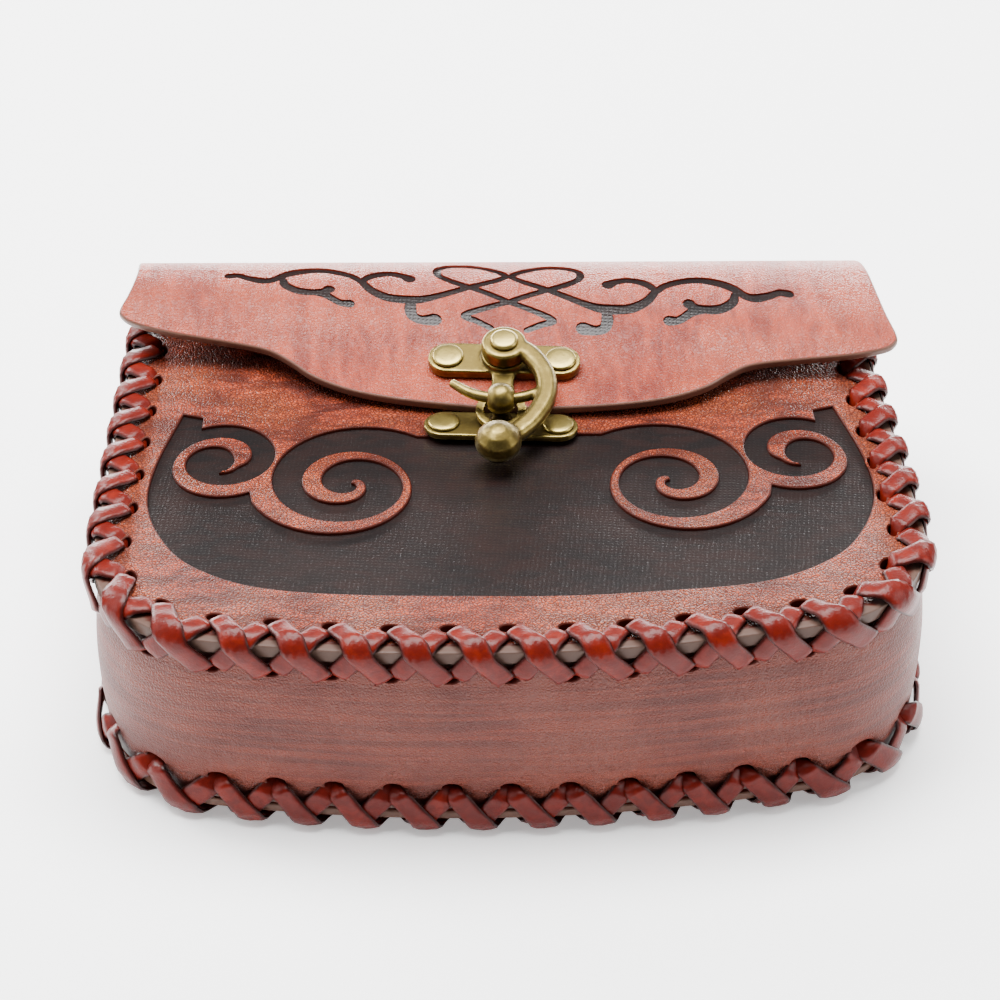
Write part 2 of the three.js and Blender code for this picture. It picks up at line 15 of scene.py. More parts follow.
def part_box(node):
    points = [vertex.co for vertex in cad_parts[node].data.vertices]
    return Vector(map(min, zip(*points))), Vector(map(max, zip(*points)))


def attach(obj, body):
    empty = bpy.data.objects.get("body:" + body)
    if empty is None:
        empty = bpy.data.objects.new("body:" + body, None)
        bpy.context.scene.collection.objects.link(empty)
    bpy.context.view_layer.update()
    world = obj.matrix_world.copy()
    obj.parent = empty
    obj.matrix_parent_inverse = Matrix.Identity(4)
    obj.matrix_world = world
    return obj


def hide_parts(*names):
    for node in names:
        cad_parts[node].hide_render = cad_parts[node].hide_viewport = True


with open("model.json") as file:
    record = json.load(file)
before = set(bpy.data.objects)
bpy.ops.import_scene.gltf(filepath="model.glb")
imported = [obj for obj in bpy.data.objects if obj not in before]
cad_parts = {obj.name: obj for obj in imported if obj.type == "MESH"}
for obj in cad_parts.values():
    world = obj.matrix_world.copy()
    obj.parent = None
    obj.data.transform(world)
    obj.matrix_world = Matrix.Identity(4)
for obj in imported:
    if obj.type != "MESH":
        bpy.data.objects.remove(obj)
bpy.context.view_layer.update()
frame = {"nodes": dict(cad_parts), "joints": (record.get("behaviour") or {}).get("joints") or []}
MM = 0.001
print("frame pieces:", len(frame["nodes"]))

# %% [markdown]
# The measures of the pouch. They are those of the CAD model, whose boxes give the levels, so the
# fine pieces land exactly where the plain ones are.

# %% Measures and levels
LACE_PITCH, LACE_UNITS = 12, 30
BOTTOM_ARC, BOTTOM_RADIUS = 62, 302
CORNER_ARC, CORNER_RADIUS = 34, 23.8
SEAM_EDGE, EDGE_ROUND, CLEARANCE = 7, 0.7, 0.3
PANEL_THICK, GUSSET_THICK, FLAP_THICK = 3, 2.6, 2.2
GUSSET_BULGE, LACE_LAYER, LACE_BEND, HOLE_DROP = 1.5, 2.2, 1.2, 8.6
BACK_HOLLOW, HOLLOW_MARGIN, FOLD_RADIUS = 5.8, 11, 16
FLAP_LENGTH, FLAP_HALF, FLAP_RISE, FLAP_SHIFT = 42, 87, 8.5, 2
FLAP_SKEW, FLAP_TWIST, FOLD_SKEW = 0.08, 0.018, 0.028
FIGURE_HALF, FIGURE_LENGTH, FIGURE_INSET = 77.4, 66.8, 10
HEM_LENGTH = LACE_UNITS / 2 * LACE_PITCH
HOLE_PHASE, OUTLINE_STEP = -1.3, 2
PANEL_HOLE, GUSSET_HOLE, BACK_HOLE = (2, 1), (2, 1.2), (2.1, 1.3)

HEM_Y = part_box("lacing_front")[0].y / MM + SEAM_EDGE + CLEARANCE + LACE_LAYER
PANEL_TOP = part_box("front_panel")[1].z / MM
BACK_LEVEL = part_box("back_and_flap")[0].z / MM
print("panel top", round(PANEL_TOP, 2), "back level", round(BACK_LEVEL, 2))


def smooth(value):
    t = min(max(value, 0), 1)
    return t * t * (3 - 2 * t)


def hem_point(length, offset=0):
    """Point of the hem at a signed length from the middle of the bottom."""
    side = -1 if length < 0 else 1
    along = abs(length)
    bottom = min(along, BOTTOM_ARC) / BOTTOM_RADIUS
    turn = bottom + min(max(along - BOTTOM_ARC, 0), CORNER_ARC) / CORNER_RADIUS
    straight = max(along - BOTTOM_ARC - CORNER_ARC, 0)
    x = BOTTOM_RADIUS * math.sin(bottom) + CORNER_RADIUS * (math.sin(turn) - math.sin(bottom))
    y = BOTTOM_RADIUS * (1 - math.cos(bottom)) + CORNER_RADIUS * (math.cos(bottom) - math.cos(turn))
    x += straight * math.cos(turn) + offset * math.sin(turn)
    y += straight * math.sin(turn) - offset * math.cos(turn)
    return Vector((side * x, HEM_Y + y))


MOUTH_Y = hem_point(HEM_LENGTH).y


def curve_through(points, steps):
    """Catmull-Rom curve through points, of any number of coordinates."""
    places = [Vector(point) for point in points]
    line = []
    for k in range(len(places) - 1):
        p1, p2 = places[k], places[k + 1]
        p0 = places[max(k - 1, 0)]
        p3 = places[min(k + 2, len(places) - 1)]
        for step in range(steps):
            t = step / steps
            line.append((2 * p1 + (p2 - p0) * t + (2 * p0 - 5 * p1 + 4 * p2 - p3) * t ** 2
                         + (3 * p1 - p0 - 3 * p2 + p3) * t ** 3) / 2)
    return line + [places[-1]]


def look_up(table, place):
    """Second value of a table of (place, value) rows, between its rows."""
    if place <= table[0][0]:
        return table[0][1]
    for (a, low), (b, high) in zip(table, table[1:]):
        if place <= b:
            return low + (high - low) * (place - a) / (b - a)
    return table[-1][1]


# %% [markdown]
# A few tools for meshes. A 2D curve is the knife: its loops are the outline and the openings, its
# extrusion the thickness and its bevel the rounded, burnished edge. Slicing gives the sheet
# enough vertices to bend.

# %% Leather tools
def add_object(name, data):
    obj = bpy.data.objects.new(name, data)
    bpy.context.collection.objects.link(obj)
    return obj


def to_object(bm, name):
    """An object with the mesh of bm, which is freed."""
    mesh = bpy.data.meshes.new(name)
    bm.to_mesh(mesh)
    bm.free()
    return add_object(name, mesh)


def to_bmesh(obj):
    """The object's mesh with its modifiers. The object itself goes."""
    bpy.context.view_layer.update()
    depsgraph = bpy.context.evaluated_depsgraph_get()
    mesh = bpy.data.meshes.new_from_object(obj.evaluated_get(depsgraph), depsgraph=depsgraph)
    bpy.data.objects.remove(obj)
    bm = bmesh.new()
    bm.from_mesh(mesh)
    bpy.data.meshes.remove(mesh)
    return bm


def join(bm, part):
    """Adds the part to bm and frees the part."""
    mesh = bpy.data.meshes.new("part")
    part.to_mesh(mesh)
    part.free()
    bm.from_mesh(mesh)
    bpy.data.meshes.remove(mesh)


def move(bm, x, y, z):
    bmesh.ops.translate(bm, verts=bm.verts, vec=(x, y, z))
    return bm


def extrude(bm, faces, height):
    """Makes a solid of flat faces, upwards."""
    raised = bmesh.ops.extrude_face_region(bm, geom=faces, use_keep_orig=True)
    tops = [part for part in raised["geom"] if isinstance(part, bmesh.types.BMVert)]
    bmesh.ops.translate(bm, verts=tops, vec=(0, 0, height))


def turn_left(loop):
    """The loop in its counter-clockwise order."""
    area = sum(a[0] * b[1] - b[0] * a[1] for a, b in zip(loop, loop[1:] + loop[:1]))
    return loop if area > 0 else loop[::-1]


def cut_flat(name, outline, openings, thick, rounding):
    """Flat leather with openings, rounded along all its edges."""
    curve = bpy.data.curves.new(name, "CURVE")
    curve.dimensions = "2D"
    curve.fill_mode = "BOTH"
    curve.extrude = thick / 2 - rounding
    curve.bevel_depth = rounding
    curve.bevel_resolution = 2
    curve.offset = -rounding
    loops = [turn_left(outline)] + [turn_left(loop)[::-1] for loop in openings]
    for loop in loops:
        spline = curve.splines.new("POLY")
        spline.points.add(len(loop) - 1)
        spline.use_cyclic_u = True
        for point, place in zip(spline.points, loop):
            point.co = (place[0], place[1], 0, 1)
    bm = to_bmesh(add_object(name, curve))
    bmesh.ops.remove_doubles(bm, verts=bm.verts, dist=0.002)
    return bm


def slice_up(bm, **steps):
    """Cuts across the faces at even steps along each axis named."""
    for axis, step in steps.items():
        normal = Vector([float(letter == axis) for letter in "xyz"])
        places = [vert.co["xyz".index(axis)] for vert in bm.verts]
        place = math.ceil(min(places) / step + 0.05) * step
        while place < max(places):
            bmesh.ops.bisect_plane(bm, geom=[*bm.verts, *bm.edges, *bm.faces], dist=1e-4,
                                   plane_co=normal * place, plane_no=normal)
            place += step


def mark_edges(bm, thick, near_edge=None):
    """Attribute edge: 1 on a bare cut edge, a half on a stained one and 0 on the faces."""
    layer = bm.verts.layers.float.new("edge")
    for vert in bm.verts:
        cut = float(abs(vert.co.z) < thick / 2 - 1e-3)
        vert[layer] = max(cut / 2, near_edge(vert.co)) if near_edge else cut


def bend(bm, rule):
    for vert in bm.verts:
        vert.co = rule(vert.co) * MM


def finished(bm, name, sharp=40):
    """A mesh object with smooth faces and the sharp edges kept."""
    bmesh.ops.recalc_face_normals(bm, faces=bm.faces)
    for face in bm.faces:
        face.smooth = True
    for edge in bm.edges:
        edge.smooth = len(edge.link_faces) != 2 or edge.calc_face_angle() < math.radians(sharp)
    obj = to_object(bm, name)
    obj.modifiers.new("even_normals", "WEIGHTED_NORMAL").keep_sharp = True
    print(name, "faces:", len(obj.data.polygons))
    return obj


def oval(centre, along, half_long, half_wide, count=14):
    """A lacing hole: an oval lengthened along a direction."""
    across = Vector((-along.y, along.x))
    turns = [2 * math.pi * k / count for k in range(count)]
    return [centre + along * half_long * math.cos(t) + across * half_wide * math.sin(t)
            for t in turns]


def rectangle(x0, y0, x1, y1):
    return [Vector(corner) for corner in ((x0, y0), (x1, y0), (x1, y1), (x0, y1))]


def hole_places():
    """Lengths along the hem where the lace goes through. The first is the lace's start."""
    return [unit * LACE_PITCH - HEM_LENGTH + HOLE_PHASE for unit in range(LACE_UNITS + 1)]


def hem_holes(half_long, half_wide):
    """The lacing holes of a panel, each turned along the hem."""
    holes = []
    for place in hole_places()[1:]:
        step = hem_point(place + 0.5) - hem_point(place - 0.5)
        holes.append(oval(hem_point(place), step.normalized(), half_long, half_wide))
    return holes


def hem_outline(offset):
    """The rounded side of a panel, from one end of the hem to the other."""
    count = round(HEM_LENGTH / OUTLINE_STEP)
    return [hem_point(step * OUTLINE_STEP, offset) for step in range(-count, count + 1)]


# %% [markdown]
# The figure of the front: a wide dark field whose upper corners curl into two double spirals.
# Each spiral is a radius that changes with the turning angle, so the leather tongue between two
# windings keeps an even width, as a swivel knife would cut it.

# %% Outline of the figure
SPIRALS = [
    (0.815, 0.749, 69, 627, [0.155, 0.16, 0.133, 0.093, 0.056, 0.042, 0.07]),
    (0.776, 0.729, -54, -470, [0.065, 0.032, 0.052, 0.1, 0.149, 0.177, 0.157]),
    (0.46, 0.593, -9, -542, [0.27, 0.222, 0.182, 0.148, 0.116, 0.086, 0.056]),
    (0.444, 0.596, 169, 850, [0.003, 0.046, 0.091, 0.133, 0.174, 0.224, 0.288]),
]
FIGURE_SHIFT, FIGURE_TURN = 0.8, -1.1
FIGURE_EDGE = [(0, 0), (0.36, 0.014), (0.67, 0.061), (0.858, 0.173), (0.952, 0.321), (1, 0.512),
               (0.987, 0.726), (0.926, 1)]
HORN_CORNER = (0.868, 0.975)


def figure_point(across, along):
    return Vector((across * FIGURE_HALF, HEM_Y + FIGURE_INSET + along * FIGURE_LENGTH))


def spiral(across, along, start, end, radii):
    centre = figure_point(across, along)
    rows = [(k / (len(radii) - 1), radius) for k, radius in enumerate(radii)]
    profile = [tuple(point) for point in curve_through(rows, 12)]
    steps = round(abs(end - start) / 8)
    line = []
    for step in range(steps + 1):
        turn = math.radians(start + (end - start) * step / steps)
        radius = look_up(profile, step / steps) * FIGURE_HALF
        line.append(centre + Vector((math.cos(turn), math.sin(turn))) * radius)
    return line


def tongue_end(edge, after):
    """The round end of the wide tongue, from the end of one edge to the start of the next."""
    middle = (edge[-1] + after) / 2
    reach = edge[-1] - middle
    ahead = (edge[-1] - edge[-2]).normalized() * reach.length
    turns = [math.pi * step / 8 for step in range(1, 8)]
    return [middle + reach * math.cos(turn) + ahead * math.sin(turn) for turn in turns]


def figure_outline():
    half = curve_through([figure_point(*knot) for knot in FIGURE_EDGE], 8)
    half.append(figure_point(*HORN_CORNER))
    half += spiral(*SPIRALS[0]) + spiral(*SPIRALS[1])[1:] + spiral(*SPIRALS[2])[1:]
    last = spiral(*SPIRALS[3])
    half += tongue_end(half, last[0]) + last
    whole = half + [Vector((-point.x, point.y)) for point in half[:0:-1]]
    centre = figure_point(0, 0.5)
    turn = Matrix.Rotation(math.radians(FIGURE_TURN), 2)
    return [centre + turn @ (point - centre) + Vector((FIGURE_SHIFT, 0)) for point in whole]


figure = figure_outline()
print("figure points:", len(figure))

# %% [markdown]
# The front panel is 3 mm leather. The figure is cut through it and the lacing holes are punched
# along its edge, where the tight lacing pulls the leather down a little.

# %% Front panel and its dark leather
SINK_EDGE, SINK_EDGE_REACH = 0.7, 11
SINK_FACE, SINK_FACE_REACH = 0.9, 34
UNEVEN_SIZE, UNEVEN_DEPTH, UNEVEN_MOST = 26, 0.3, 0.1
BARE_EDGE, BARE_FADE = 3.2, 1.6
INLAY_DROP, INLAY_THICK = 0.75, 0.8

outline = hem_outline(SEAM_EDGE)
edge_tree = kdtree.KDTree(len(outline))
for k, place in enumerate(outline):
    edge_tree.insert((place.x, place.y, 0), k)
edge_tree.balance()


def edge_distance(place):
    return edge_tree.find((place.x, place.y, 0))[2]


def unevenness(place, size, depth):
    return depth * noise.noise(Vector(place) / size)


def panel_rule(place, drop):
    """Lays flat leather at a depth below the front's face, which the lacing pulls down."""
    distance = edge_distance(place)
    sink = SINK_EDGE * smooth(1 - distance / SINK_EDGE_REACH)
    sink += SINK_FACE * max(1 - distance / SINK_FACE_REACH, 0) ** 2
    wave = min(unevenness(place, UNEVEN_SIZE, UNEVEN_DEPTH), UNEVEN_MOST)
    return Vector((place.x, place.y, PANEL_TOP - drop + place.z - sink + wave))


def panel_edge(place):
    """1 on the bare edge that shows between the laces, fading inwards."""
    return smooth((BARE_EDGE - edge_distance(place)) / BARE_FADE)


sheet = cut_flat("front_panel", outline, hem_holes(*PANEL_HOLE) + [figure], PANEL_THICK, 0.35)
slice_up(sheet, x=4, y=4)
mark_edges(sheet, PANEL_THICK, panel_edge)
bend(sheet, lambda place: panel_rule(place, PANEL_THICK / 2))
front_panel = finished(sheet, "pouch_front")

sheet = cut_flat("front_field", figure, [], INLAY_THICK, 0.1)
slice_up(sheet, x=6, y=6)
bend(sheet, lambda place: panel_rule(place, INLAY_DROP + INLAY_THICK / 2))
front_field = finished(sheet, "pouch_figure")

# %% [markdown]
# The gusset is one long strip that follows the edge of the panels. Flat, its long side is the
# length along the hem, so the holes of both seams are simply rows at the lacing's spacing.

# %% Gusset
GUSSET_DIP, GUSSET_INSET, GUSSET_BARE = 1.4, 0.3, 1.8
DENT_DEPTH, DENT_SIZE = 0.35, 2.6
GUSSET_LOW = BACK_LEVEL + FLAP_THICK + CLEARANCE
GUSSET_HIGH = PANEL_TOP - PANEL_THICK - CLEARANCE - GUSSET_DIP
HOLE_LEVELS = (PANEL_TOP - HOLE_DROP, BACK_LEVEL + HOLE_DROP)


def gusset_rule(place):
    """Stands the strip up along the hem, bowed out and dented where the laces pull."""
    share = (place.y - GUSSET_LOW) / (GUSSET_HIGH - GUSSET_LOW)
    bow = GUSSET_BULGE * math.sin(math.pi * min(max(share, 0), 1))
    dents = sum(math.exp(-((place.y - level) / DENT_SIZE) ** 2) for level in HOLE_LEVELS)
    phase = math.cos(2 * math.pi * (place.x - HOLE_PHASE) / LACE_PITCH)
    dent = DENT_DEPTH * dents * (phase + 1) / 2
    depth = SEAM_EDGE - EDGE_ROUND + bow - dent + unevenness(place, 30, 0.5) - GUSSET_INSET
    point = hem_point(place.x, depth + place.z - GUSSET_THICK / 2)
    return Vector((point.x, point.y, place.y))


def gusset_edge(place):
    """1 on the two bare long edges, fading inwards."""
    return smooth(GUSSET_BARE - min(GUSSET_HIGH - place.y, place.y - GUSSET_LOW))


strip = rectangle(-HEM_LENGTH, GUSSET_LOW, HEM_LENGTH, GUSSET_HIGH)
holes = [oval(Vector((place, level)), Vector((1, 0)), *GUSSET_HOLE)
         for place in hole_places()[1:] for level in HOLE_LEVELS]
sheet = cut_flat("gusset", strip, holes, GUSSET_THICK, 0.35)
mark_edges(sheet, GUSSET_THICK, gusset_edge)
slice_up(sheet, x=2, y=3)
bend(sheet, gusset_rule)
gusset = finished(sheet, "pouch_gusset")

# %% [markdown]
# Back panel, fold and flap are one leather. Its flat length runs from the rounded bottom up the
# back, over the fold and down to the tongue of the flap. The rule below says where each point of
# that flat leather lies, and the surface's own normal gives the thickness.

# %% The path of the one-piece back and flap
FLAP_ROWS = [(0, 0.958, 1), (0.12, 0.966, 0.98), (0.28, 0.982, 0.87), (0.4, 1, 0.72),
             (0.45, 0.994, 0.64), (0.495, 0.96, 0.56), (0.54, 0.87, 0.47), (0.58, 0.74, 0.4),
             (0.625, 0.625, 0.34), (0.7, 0.56, 0.26), (0.81, 0.495, 0.175), (0.9, 0.4, 0.105),
             (0.96, 0.27, 0.06), (1, 0.1, 0.03)]
flap_line = curve_through(FLAP_ROWS, 8)
flap_heights = [(row[0], row[2]) for row in flap_line]
HOLLOW_SHARE, HOLLOW_INSET = 0.92, 3
QUARTER = FOLD_RADIUS * math.pi / 2
FOLD_TOP = PANEL_TOP + FLAP_THICK + FLAP_RISE
WALL = FOLD_TOP - FOLD_RADIUS - (BACK_LEVEL + FOLD_RADIUS)
FOLD_START = MOUTH_Y
WALL_START = FOLD_START + QUARTER
CREST_START = WALL_START + WALL
FLAP_START = CREST_START + QUARTER
FOLD_HALF = hem_point(HEM_LENGTH, SEAM_EDGE - EDGE_ROUND).x


def flap_point(across, along):
    """Where the flap's outer face lies, a share of its length from the fold."""
    rise = look_up(flap_heights, along)
    skew = FOLD_SKEW + (FLAP_SKEW - FOLD_SKEW) * smooth(along / 0.5)
    loose = smooth((1 - along) / 0.6)
    return Vector((across + FLAP_SHIFT, MOUTH_Y - along * FLAP_LENGTH - skew * across,
                   PANEL_TOP + FLAP_THICK + 2 * CLEARANCE + rise * FLAP_RISE
                   - FLAP_TWIST * loose * across))


def hollow(x, y):
    """The back panel is pressed in over the belt loops."""
    start = HEM_Y + HOLLOW_MARGIN - SEAM_EDGE
    half = HOLLOW_SHARE * (FOLD_HALF - HOLLOW_INSET)
    across = 1 - min(abs(x) / half, 1) ** 4
    along = 1 - min(abs(2 * (y - start) / (MOUTH_Y - start) - 1), 1) ** 4
    return BACK_HOLLOW * across * along


def leather_path(u, v):
    """Where the outer face of the flat point (u, v) lies."""
    if v < FOLD_START:
        return Vector((u, v, BACK_LEVEL + hollow(u, v)))
    if v < WALL_START:
        turn = (v - FOLD_START) / FOLD_RADIUS
        return Vector((u, MOUTH_Y + FOLD_RADIUS * math.sin(turn),
                       BACK_LEVEL + FOLD_RADIUS * (1 - math.cos(turn))))
    if v < CREST_START:
        return Vector((u, MOUTH_Y + FOLD_RADIUS, BACK_LEVEL + FOLD_RADIUS + v - WALL_START))
    if v < FLAP_START:
        share = (v - CREST_START) / QUARTER
        turn = (1 + share) * math.pi / 2
        edge = flap_point(u, 0)
        rise = (edge.z - PANEL_TOP) * share + (FLAP_THICK + FLAP_RISE) * (1 - share)
        return Vector((u + share * FLAP_SHIFT,
                       MOUTH_Y + FOLD_RADIUS * math.sin(turn) + (edge.y - MOUTH_Y) * share,
                       PANEL_TOP + rise - FOLD_RADIUS * (1 + math.cos(turn))))
    return flap_point(u, (v - FLAP_START) / FLAP_LENGTH)


def leather_rule(place):
    """Bends the flat leather along its path, its thickness along the surface's normal."""
    u, v = place.x, place.y
    point = leather_path(u, v)
    across = leather_path(u + 0.4, v) - leather_path(u - 0.4, v)
    along = leather_path(u, v + 0.8) - leather_path(u, v - 0.8)
    normal = along.cross(across).normalized()
    return point + normal * (place.z - FLAP_THICK / 2)


print("flat length of the leather:", round(FLAP_START + FLAP_LENGTH - HEM_Y + SEAM_EDGE, 1), "mm")

# %% [markdown]
# The knot and scroll on the flap are drawn as strokes of changing width with round ends. One half
# is drawn and mirrored. They become knives that cut shallow pockets in the flat leather.

# %% Strokes of the ornament
WIDER = 0.4
ORNAMENT_PLACE = Vector((1, -1.2 + FLAP_START))
ORNAMENT_TURN = Matrix.Rotation(math.radians(2), 2)
STROKES = [
    ([(0.3, 3), (2.5, 1.3), (6.5, -0.5), (10, -1.2), (13.6, -0.8), (16, 0.7), (16.1, 3), (14, 5),
      (10.2, 7), (6.7, 8.6), (1, 11.6), (0, 12.4)], [1.3, 1.4, 1.5, 1.4, 1.3]),
    ([(0.3, 3), (2.8, 4.8), (8.2, 7.3), (13, 9.7), (17.4, 11.8), (20.6, 12.8), (23.9, 12.9),
      (27.6, 12.3), (31, 10), (33.1, 7)], [1.3, 1.4, 1.7, 2.6, 2.4, 1.5]),
    ([(0, 12.2), (4.3, 14), (9.9, 16.9), (7.2, 18.4), (4, 20.1)], [1.3, 1.4, 1.5, 1.4, 1.1]),
    ([(21.7, 13), (22.1, 15.6), (21.5, 18), (19.5, 19), (16.7, 18.7)], [1.6, 2.4, 2.2, 2.2, 3.2]),
    ([(33.4, 6.6), (30.9, 4.3), (27.2, 3.3), (24.3, 4), (22.5, 5.1)], [1.4, 1.9, 1.7, 1.8, 2.6]),
    ([(33.4, 6.8), (35.5, 4.8), (39.4, 3.1), (43.5, 2.5), (47.7, 3.4), (50.9, 5), (53.4, 7.1),
      (55.8, 7.6), (58.7, 6.8), (61.2, 5.7), (63.4, 6)], [1.4, 1.6, 2, 2.2, 1.8, 2.2, 1.6, 1.9]),
    ([(51, 7), (50.5, 9), (48, 11), (44.9, 11.6), (41.8, 11.1), (40.6, 10.2)],
     [1.4, 2.1, 2.3, 1.9, 2.6]),
    ([(44.9, 11.6), (41.4, 12.4), (39.3, 14), (37.8, 15), (35.9, 15.2)], [1.4, 2, 1.7, 1.8, 2.4]),
]


def stroke_outline(points, widths):
    """The closed outline of a stroke, with round ends."""
    line = curve_through(points, 6)
    rows = [(k / (len(widths) - 1), width / 2) for k, width in enumerate(widths)]
    left, right = [], []
    for k, point in enumerate(line):
        along = (line[min(k + 1, len(line) - 1)] - line[max(k - 1, 0)]).normalized()
        across = Vector((-along.y, along.x)) * look_up(rows, k / (len(line) - 1))
        left.append(point + across)
        right.append(point - across)
    caps = []
    for end, sign in ((line[-1], -1), (line[0], 1)):
        spoke = (left[-1] if sign < 0 else right[0]) - end
        turns = [-math.pi * step / 6 for step in range(1, 6)]
        caps.append([end + Matrix.Rotation(turn, 2) @ spoke for turn in turns])
    return left + caps[0] + right[::-1] + caps[1]


def ornament_knives(low, high, slimmer=0):
    """Solids of all strokes and their mirror images, from one height to another."""
    knives = bmesh.new()
    for points, widths in STROKES:
        slim = [width + WIDER - slimmer for width in widths]
        for side in (1, -1):
            shape = [ORNAMENT_TURN @ Vector((side * x, y)) + ORNAMENT_PLACE
                     for x, y in stroke_outline(points, slim)]
            base = [knives.verts.new((x, y, low)) for x, y in turn_left(shape)]
            flat = bmesh.ops.triangulate(knives, faces=[knives.faces.new(base)])["faces"]
            extrude(knives, flat, high - low)
    bmesh.ops.recalc_face_normals(knives, faces=knives.faces)
    return knives


def boolean(bm, knives, operation):
    """The flat leather cut by, or kept inside, the knives."""
    leather, tool = to_object(bm, "leather"), to_object(knives, "knives")
    cutter = leather.modifiers.new("cut", "BOOLEAN")
    cutter.object = tool
    cutter.operation = operation
    cutter.solver = "EXACT"
    cutter.use_self = True
    result = to_bmesh(leather)
    bpy.data.objects.remove(tool)
    return result


print("strokes:", 2 * len(STROKES))

# %% [markdown]
# Now the leather itself: outline, pockets for the ornament, slices to bend it by, and the bend.

# %% Back and flap
POCKET, FIELD_THICK, FIELD_LIFT, FIELD_SLACK = 0.8, 0.3, 0.2, 0.06
FIELD_HALF, FIELD_BELOW, FIELD_ABOVE = 70, 4, 24
top = FLAP_THICK / 2
right_side = [Vector((FOLD_HALF, CREST_START))]
right_side += [Vector((row[1] * FLAP_HALF, FLAP_START + row[0] * FLAP_LENGTH)) for row in flap_line]
left_side = [Vector((-point.x, point.y)) for point in right_side[::-1]]
sheet = cut_flat("back_and_flap", hem_outline(SEAM_EDGE - EDGE_ROUND) + right_side + left_side,
                 hem_holes(*BACK_HOLE), FLAP_THICK, 0.6)
sheet = boolean(sheet, ornament_knives(top - POCKET, top + 1), "DIFFERENCE")
mark_edges(sheet, FLAP_THICK)
slice_up(sheet, x=5, y=2)
bend(sheet, leather_rule)
back_and_flap = finished(sheet, "pouch_back_and_flap")

plate = rectangle(-FIELD_HALF, FLAP_START - FIELD_BELOW, FIELD_HALF, FLAP_START + FIELD_ABOVE)
sheet = cut_flat("flap_field", plate, [], FIELD_THICK, 0.01)
sheet = boolean(sheet, ornament_knives(-1, 1, FIELD_SLACK), "INTERSECT")
slice_up(sheet, x=5, y=2)
shift = Vector((0, 0, top - POCKET + FIELD_LIFT))
bend(sheet, lambda place: leather_rule(place + shift))
flap_field = finished(sheet, "pouch_ornament")

# %% [markdown]
# The lacing is one flat lace that crosses the seam and comes back: in every unit one strap lies
# under and one over. A strap is a rounded bar, sliced along its length, whose ends are pinched
# and dive into the holes.

# %% Lacing
LACE_HALF, LACE_THICK, LACE_LIFT, LACE_CUP = 2.35, 1.15, 0.12, 0.3
STRAP_RINGS, STRAP_SIDES, STRAP_WOBBLE, STRAP_DIVE = 22, 12, 0.35, 3.2
PINCH_LENGTH, FACE_DROP = 0.16, 0.8
CROSS = SEAM_EDGE - LACE_BEND
BEND_LENGTH = LACE_BEND * math.pi / 2
DROP_LENGTH = CROSS + BEND_LENGTH + HOLE_DROP - LACE_BEND


def seam_place(length, level, lift):
    """Offset from the hem and drop from the panel's face, at a level of the seam."""
    turn = min(max((level - CROSS) / LACE_BEND, 0), math.pi / 2)
    offset = min(level, CROSS) + (LACE_BEND + lift) * math.sin(turn)
    drop = max(level - CROSS - BEND_LENGTH, 0) + LACE_BEND - (LACE_BEND + lift) * math.cos(turn)
    return hem_point(length, offset), drop


def unit_bar(rings, sides):
    """A bar of unit radius from z = 0 to z = 1, with rings along it."""
    bar = bmesh.new()
    bmesh.ops.create_cone(bar, cap_ends=True, segments=sides, radius1=1, radius2=1, depth=1)
    slice_up(move(bar, 0, 0, 0.5), z=1 / rings)
    return bar


def lay_strap(bm, start, end, over, front, chance):
    """Adds one strap from (length, level) start to end, raised at the crossing if over."""
    pinch, dive = (0.1, 0.09) if over else (0.3, 0.2)
    bar = unit_bar(STRAP_RINGS, STRAP_SIDES)
    across_layer = bar.verts.layers.float.new("across")
    tint_layer = bar.verts.layers.float.new("tint")
    tint = chance.random()
    run = Vector((end[0] - start[0], end[1] - start[1]))
    side = Vector((-run.y, run.x)).normalized()
    wobble = chance.uniform(-STRAP_WOBBLE, STRAP_WOBBLE)
    for vert in bar.verts:
        t = vert.co.z
        u = math.copysign(abs(vert.co.x) ** 0.75, vert.co.x)
        w = math.copysign(abs(vert.co.y) ** 0.5, vert.co.y)
        near_end = min(t, 1 - t)
        half = LACE_HALF * (1 - pinch + pinch * smooth(near_end / PINCH_LENGTH))
        centre = Vector(start) + run * t + side * (wobble * math.sin(math.pi * t))
        place = centre + side * u * half
        lift = LACE_THICK / 2 * (1 + w) + LACE_LIFT - LACE_CUP * u * u
        if over:
            lift += LACE_THICK * (0.35 + 0.6 * smooth(1.25 - abs(t - 0.5) / 0.3))
        lift -= STRAP_DIVE * (1 - smooth(near_end / dive)) ** 1.5
        point, drop = seam_place(place.x, min(max(place.y, 0), DROP_LENGTH), lift)
        height = PANEL_TOP - FACE_DROP - drop if front else BACK_LEVEL + drop
        vert[across_layer] = abs(u)
        vert[tint_layer] = tint
        vert.co = Vector((point.x, point.y, height)) * MM
    join(bm, bar)


def lace_seam(name, front):
    """All straps of one seam. On the back the lace crosses the other way."""
    chance = random.Random(7 if front else 8)
    straps = bmesh.new()
    places = hole_places()
    for a, b in zip(places, places[1:]):
        under = ((b, 0), (a, DROP_LENGTH)) if front else ((a, 0), (b, DROP_LENGTH))
        over = ((a, 0), (b, DROP_LENGTH)) if front else ((b, 0), (a, DROP_LENGTH))
        lay_strap(straps, *under, False, front, chance)
        lay_strap(straps, *over, True, front, chance)
    return finished(straps, name, sharp=60)


lacing_front = lace_seam("pouch_lacing_front", True)
lacing_back = lace_seam("pouch_lacing_back", False)

# %% [markdown]
# The swing clasp: a hooked arm turns on the pivot rivet of the upper plate, and its prong goes
# through the pierced ball of the lower plate. Castings are soft at every edge, so plain solids
# are joined and a fine remesh rounds them together.

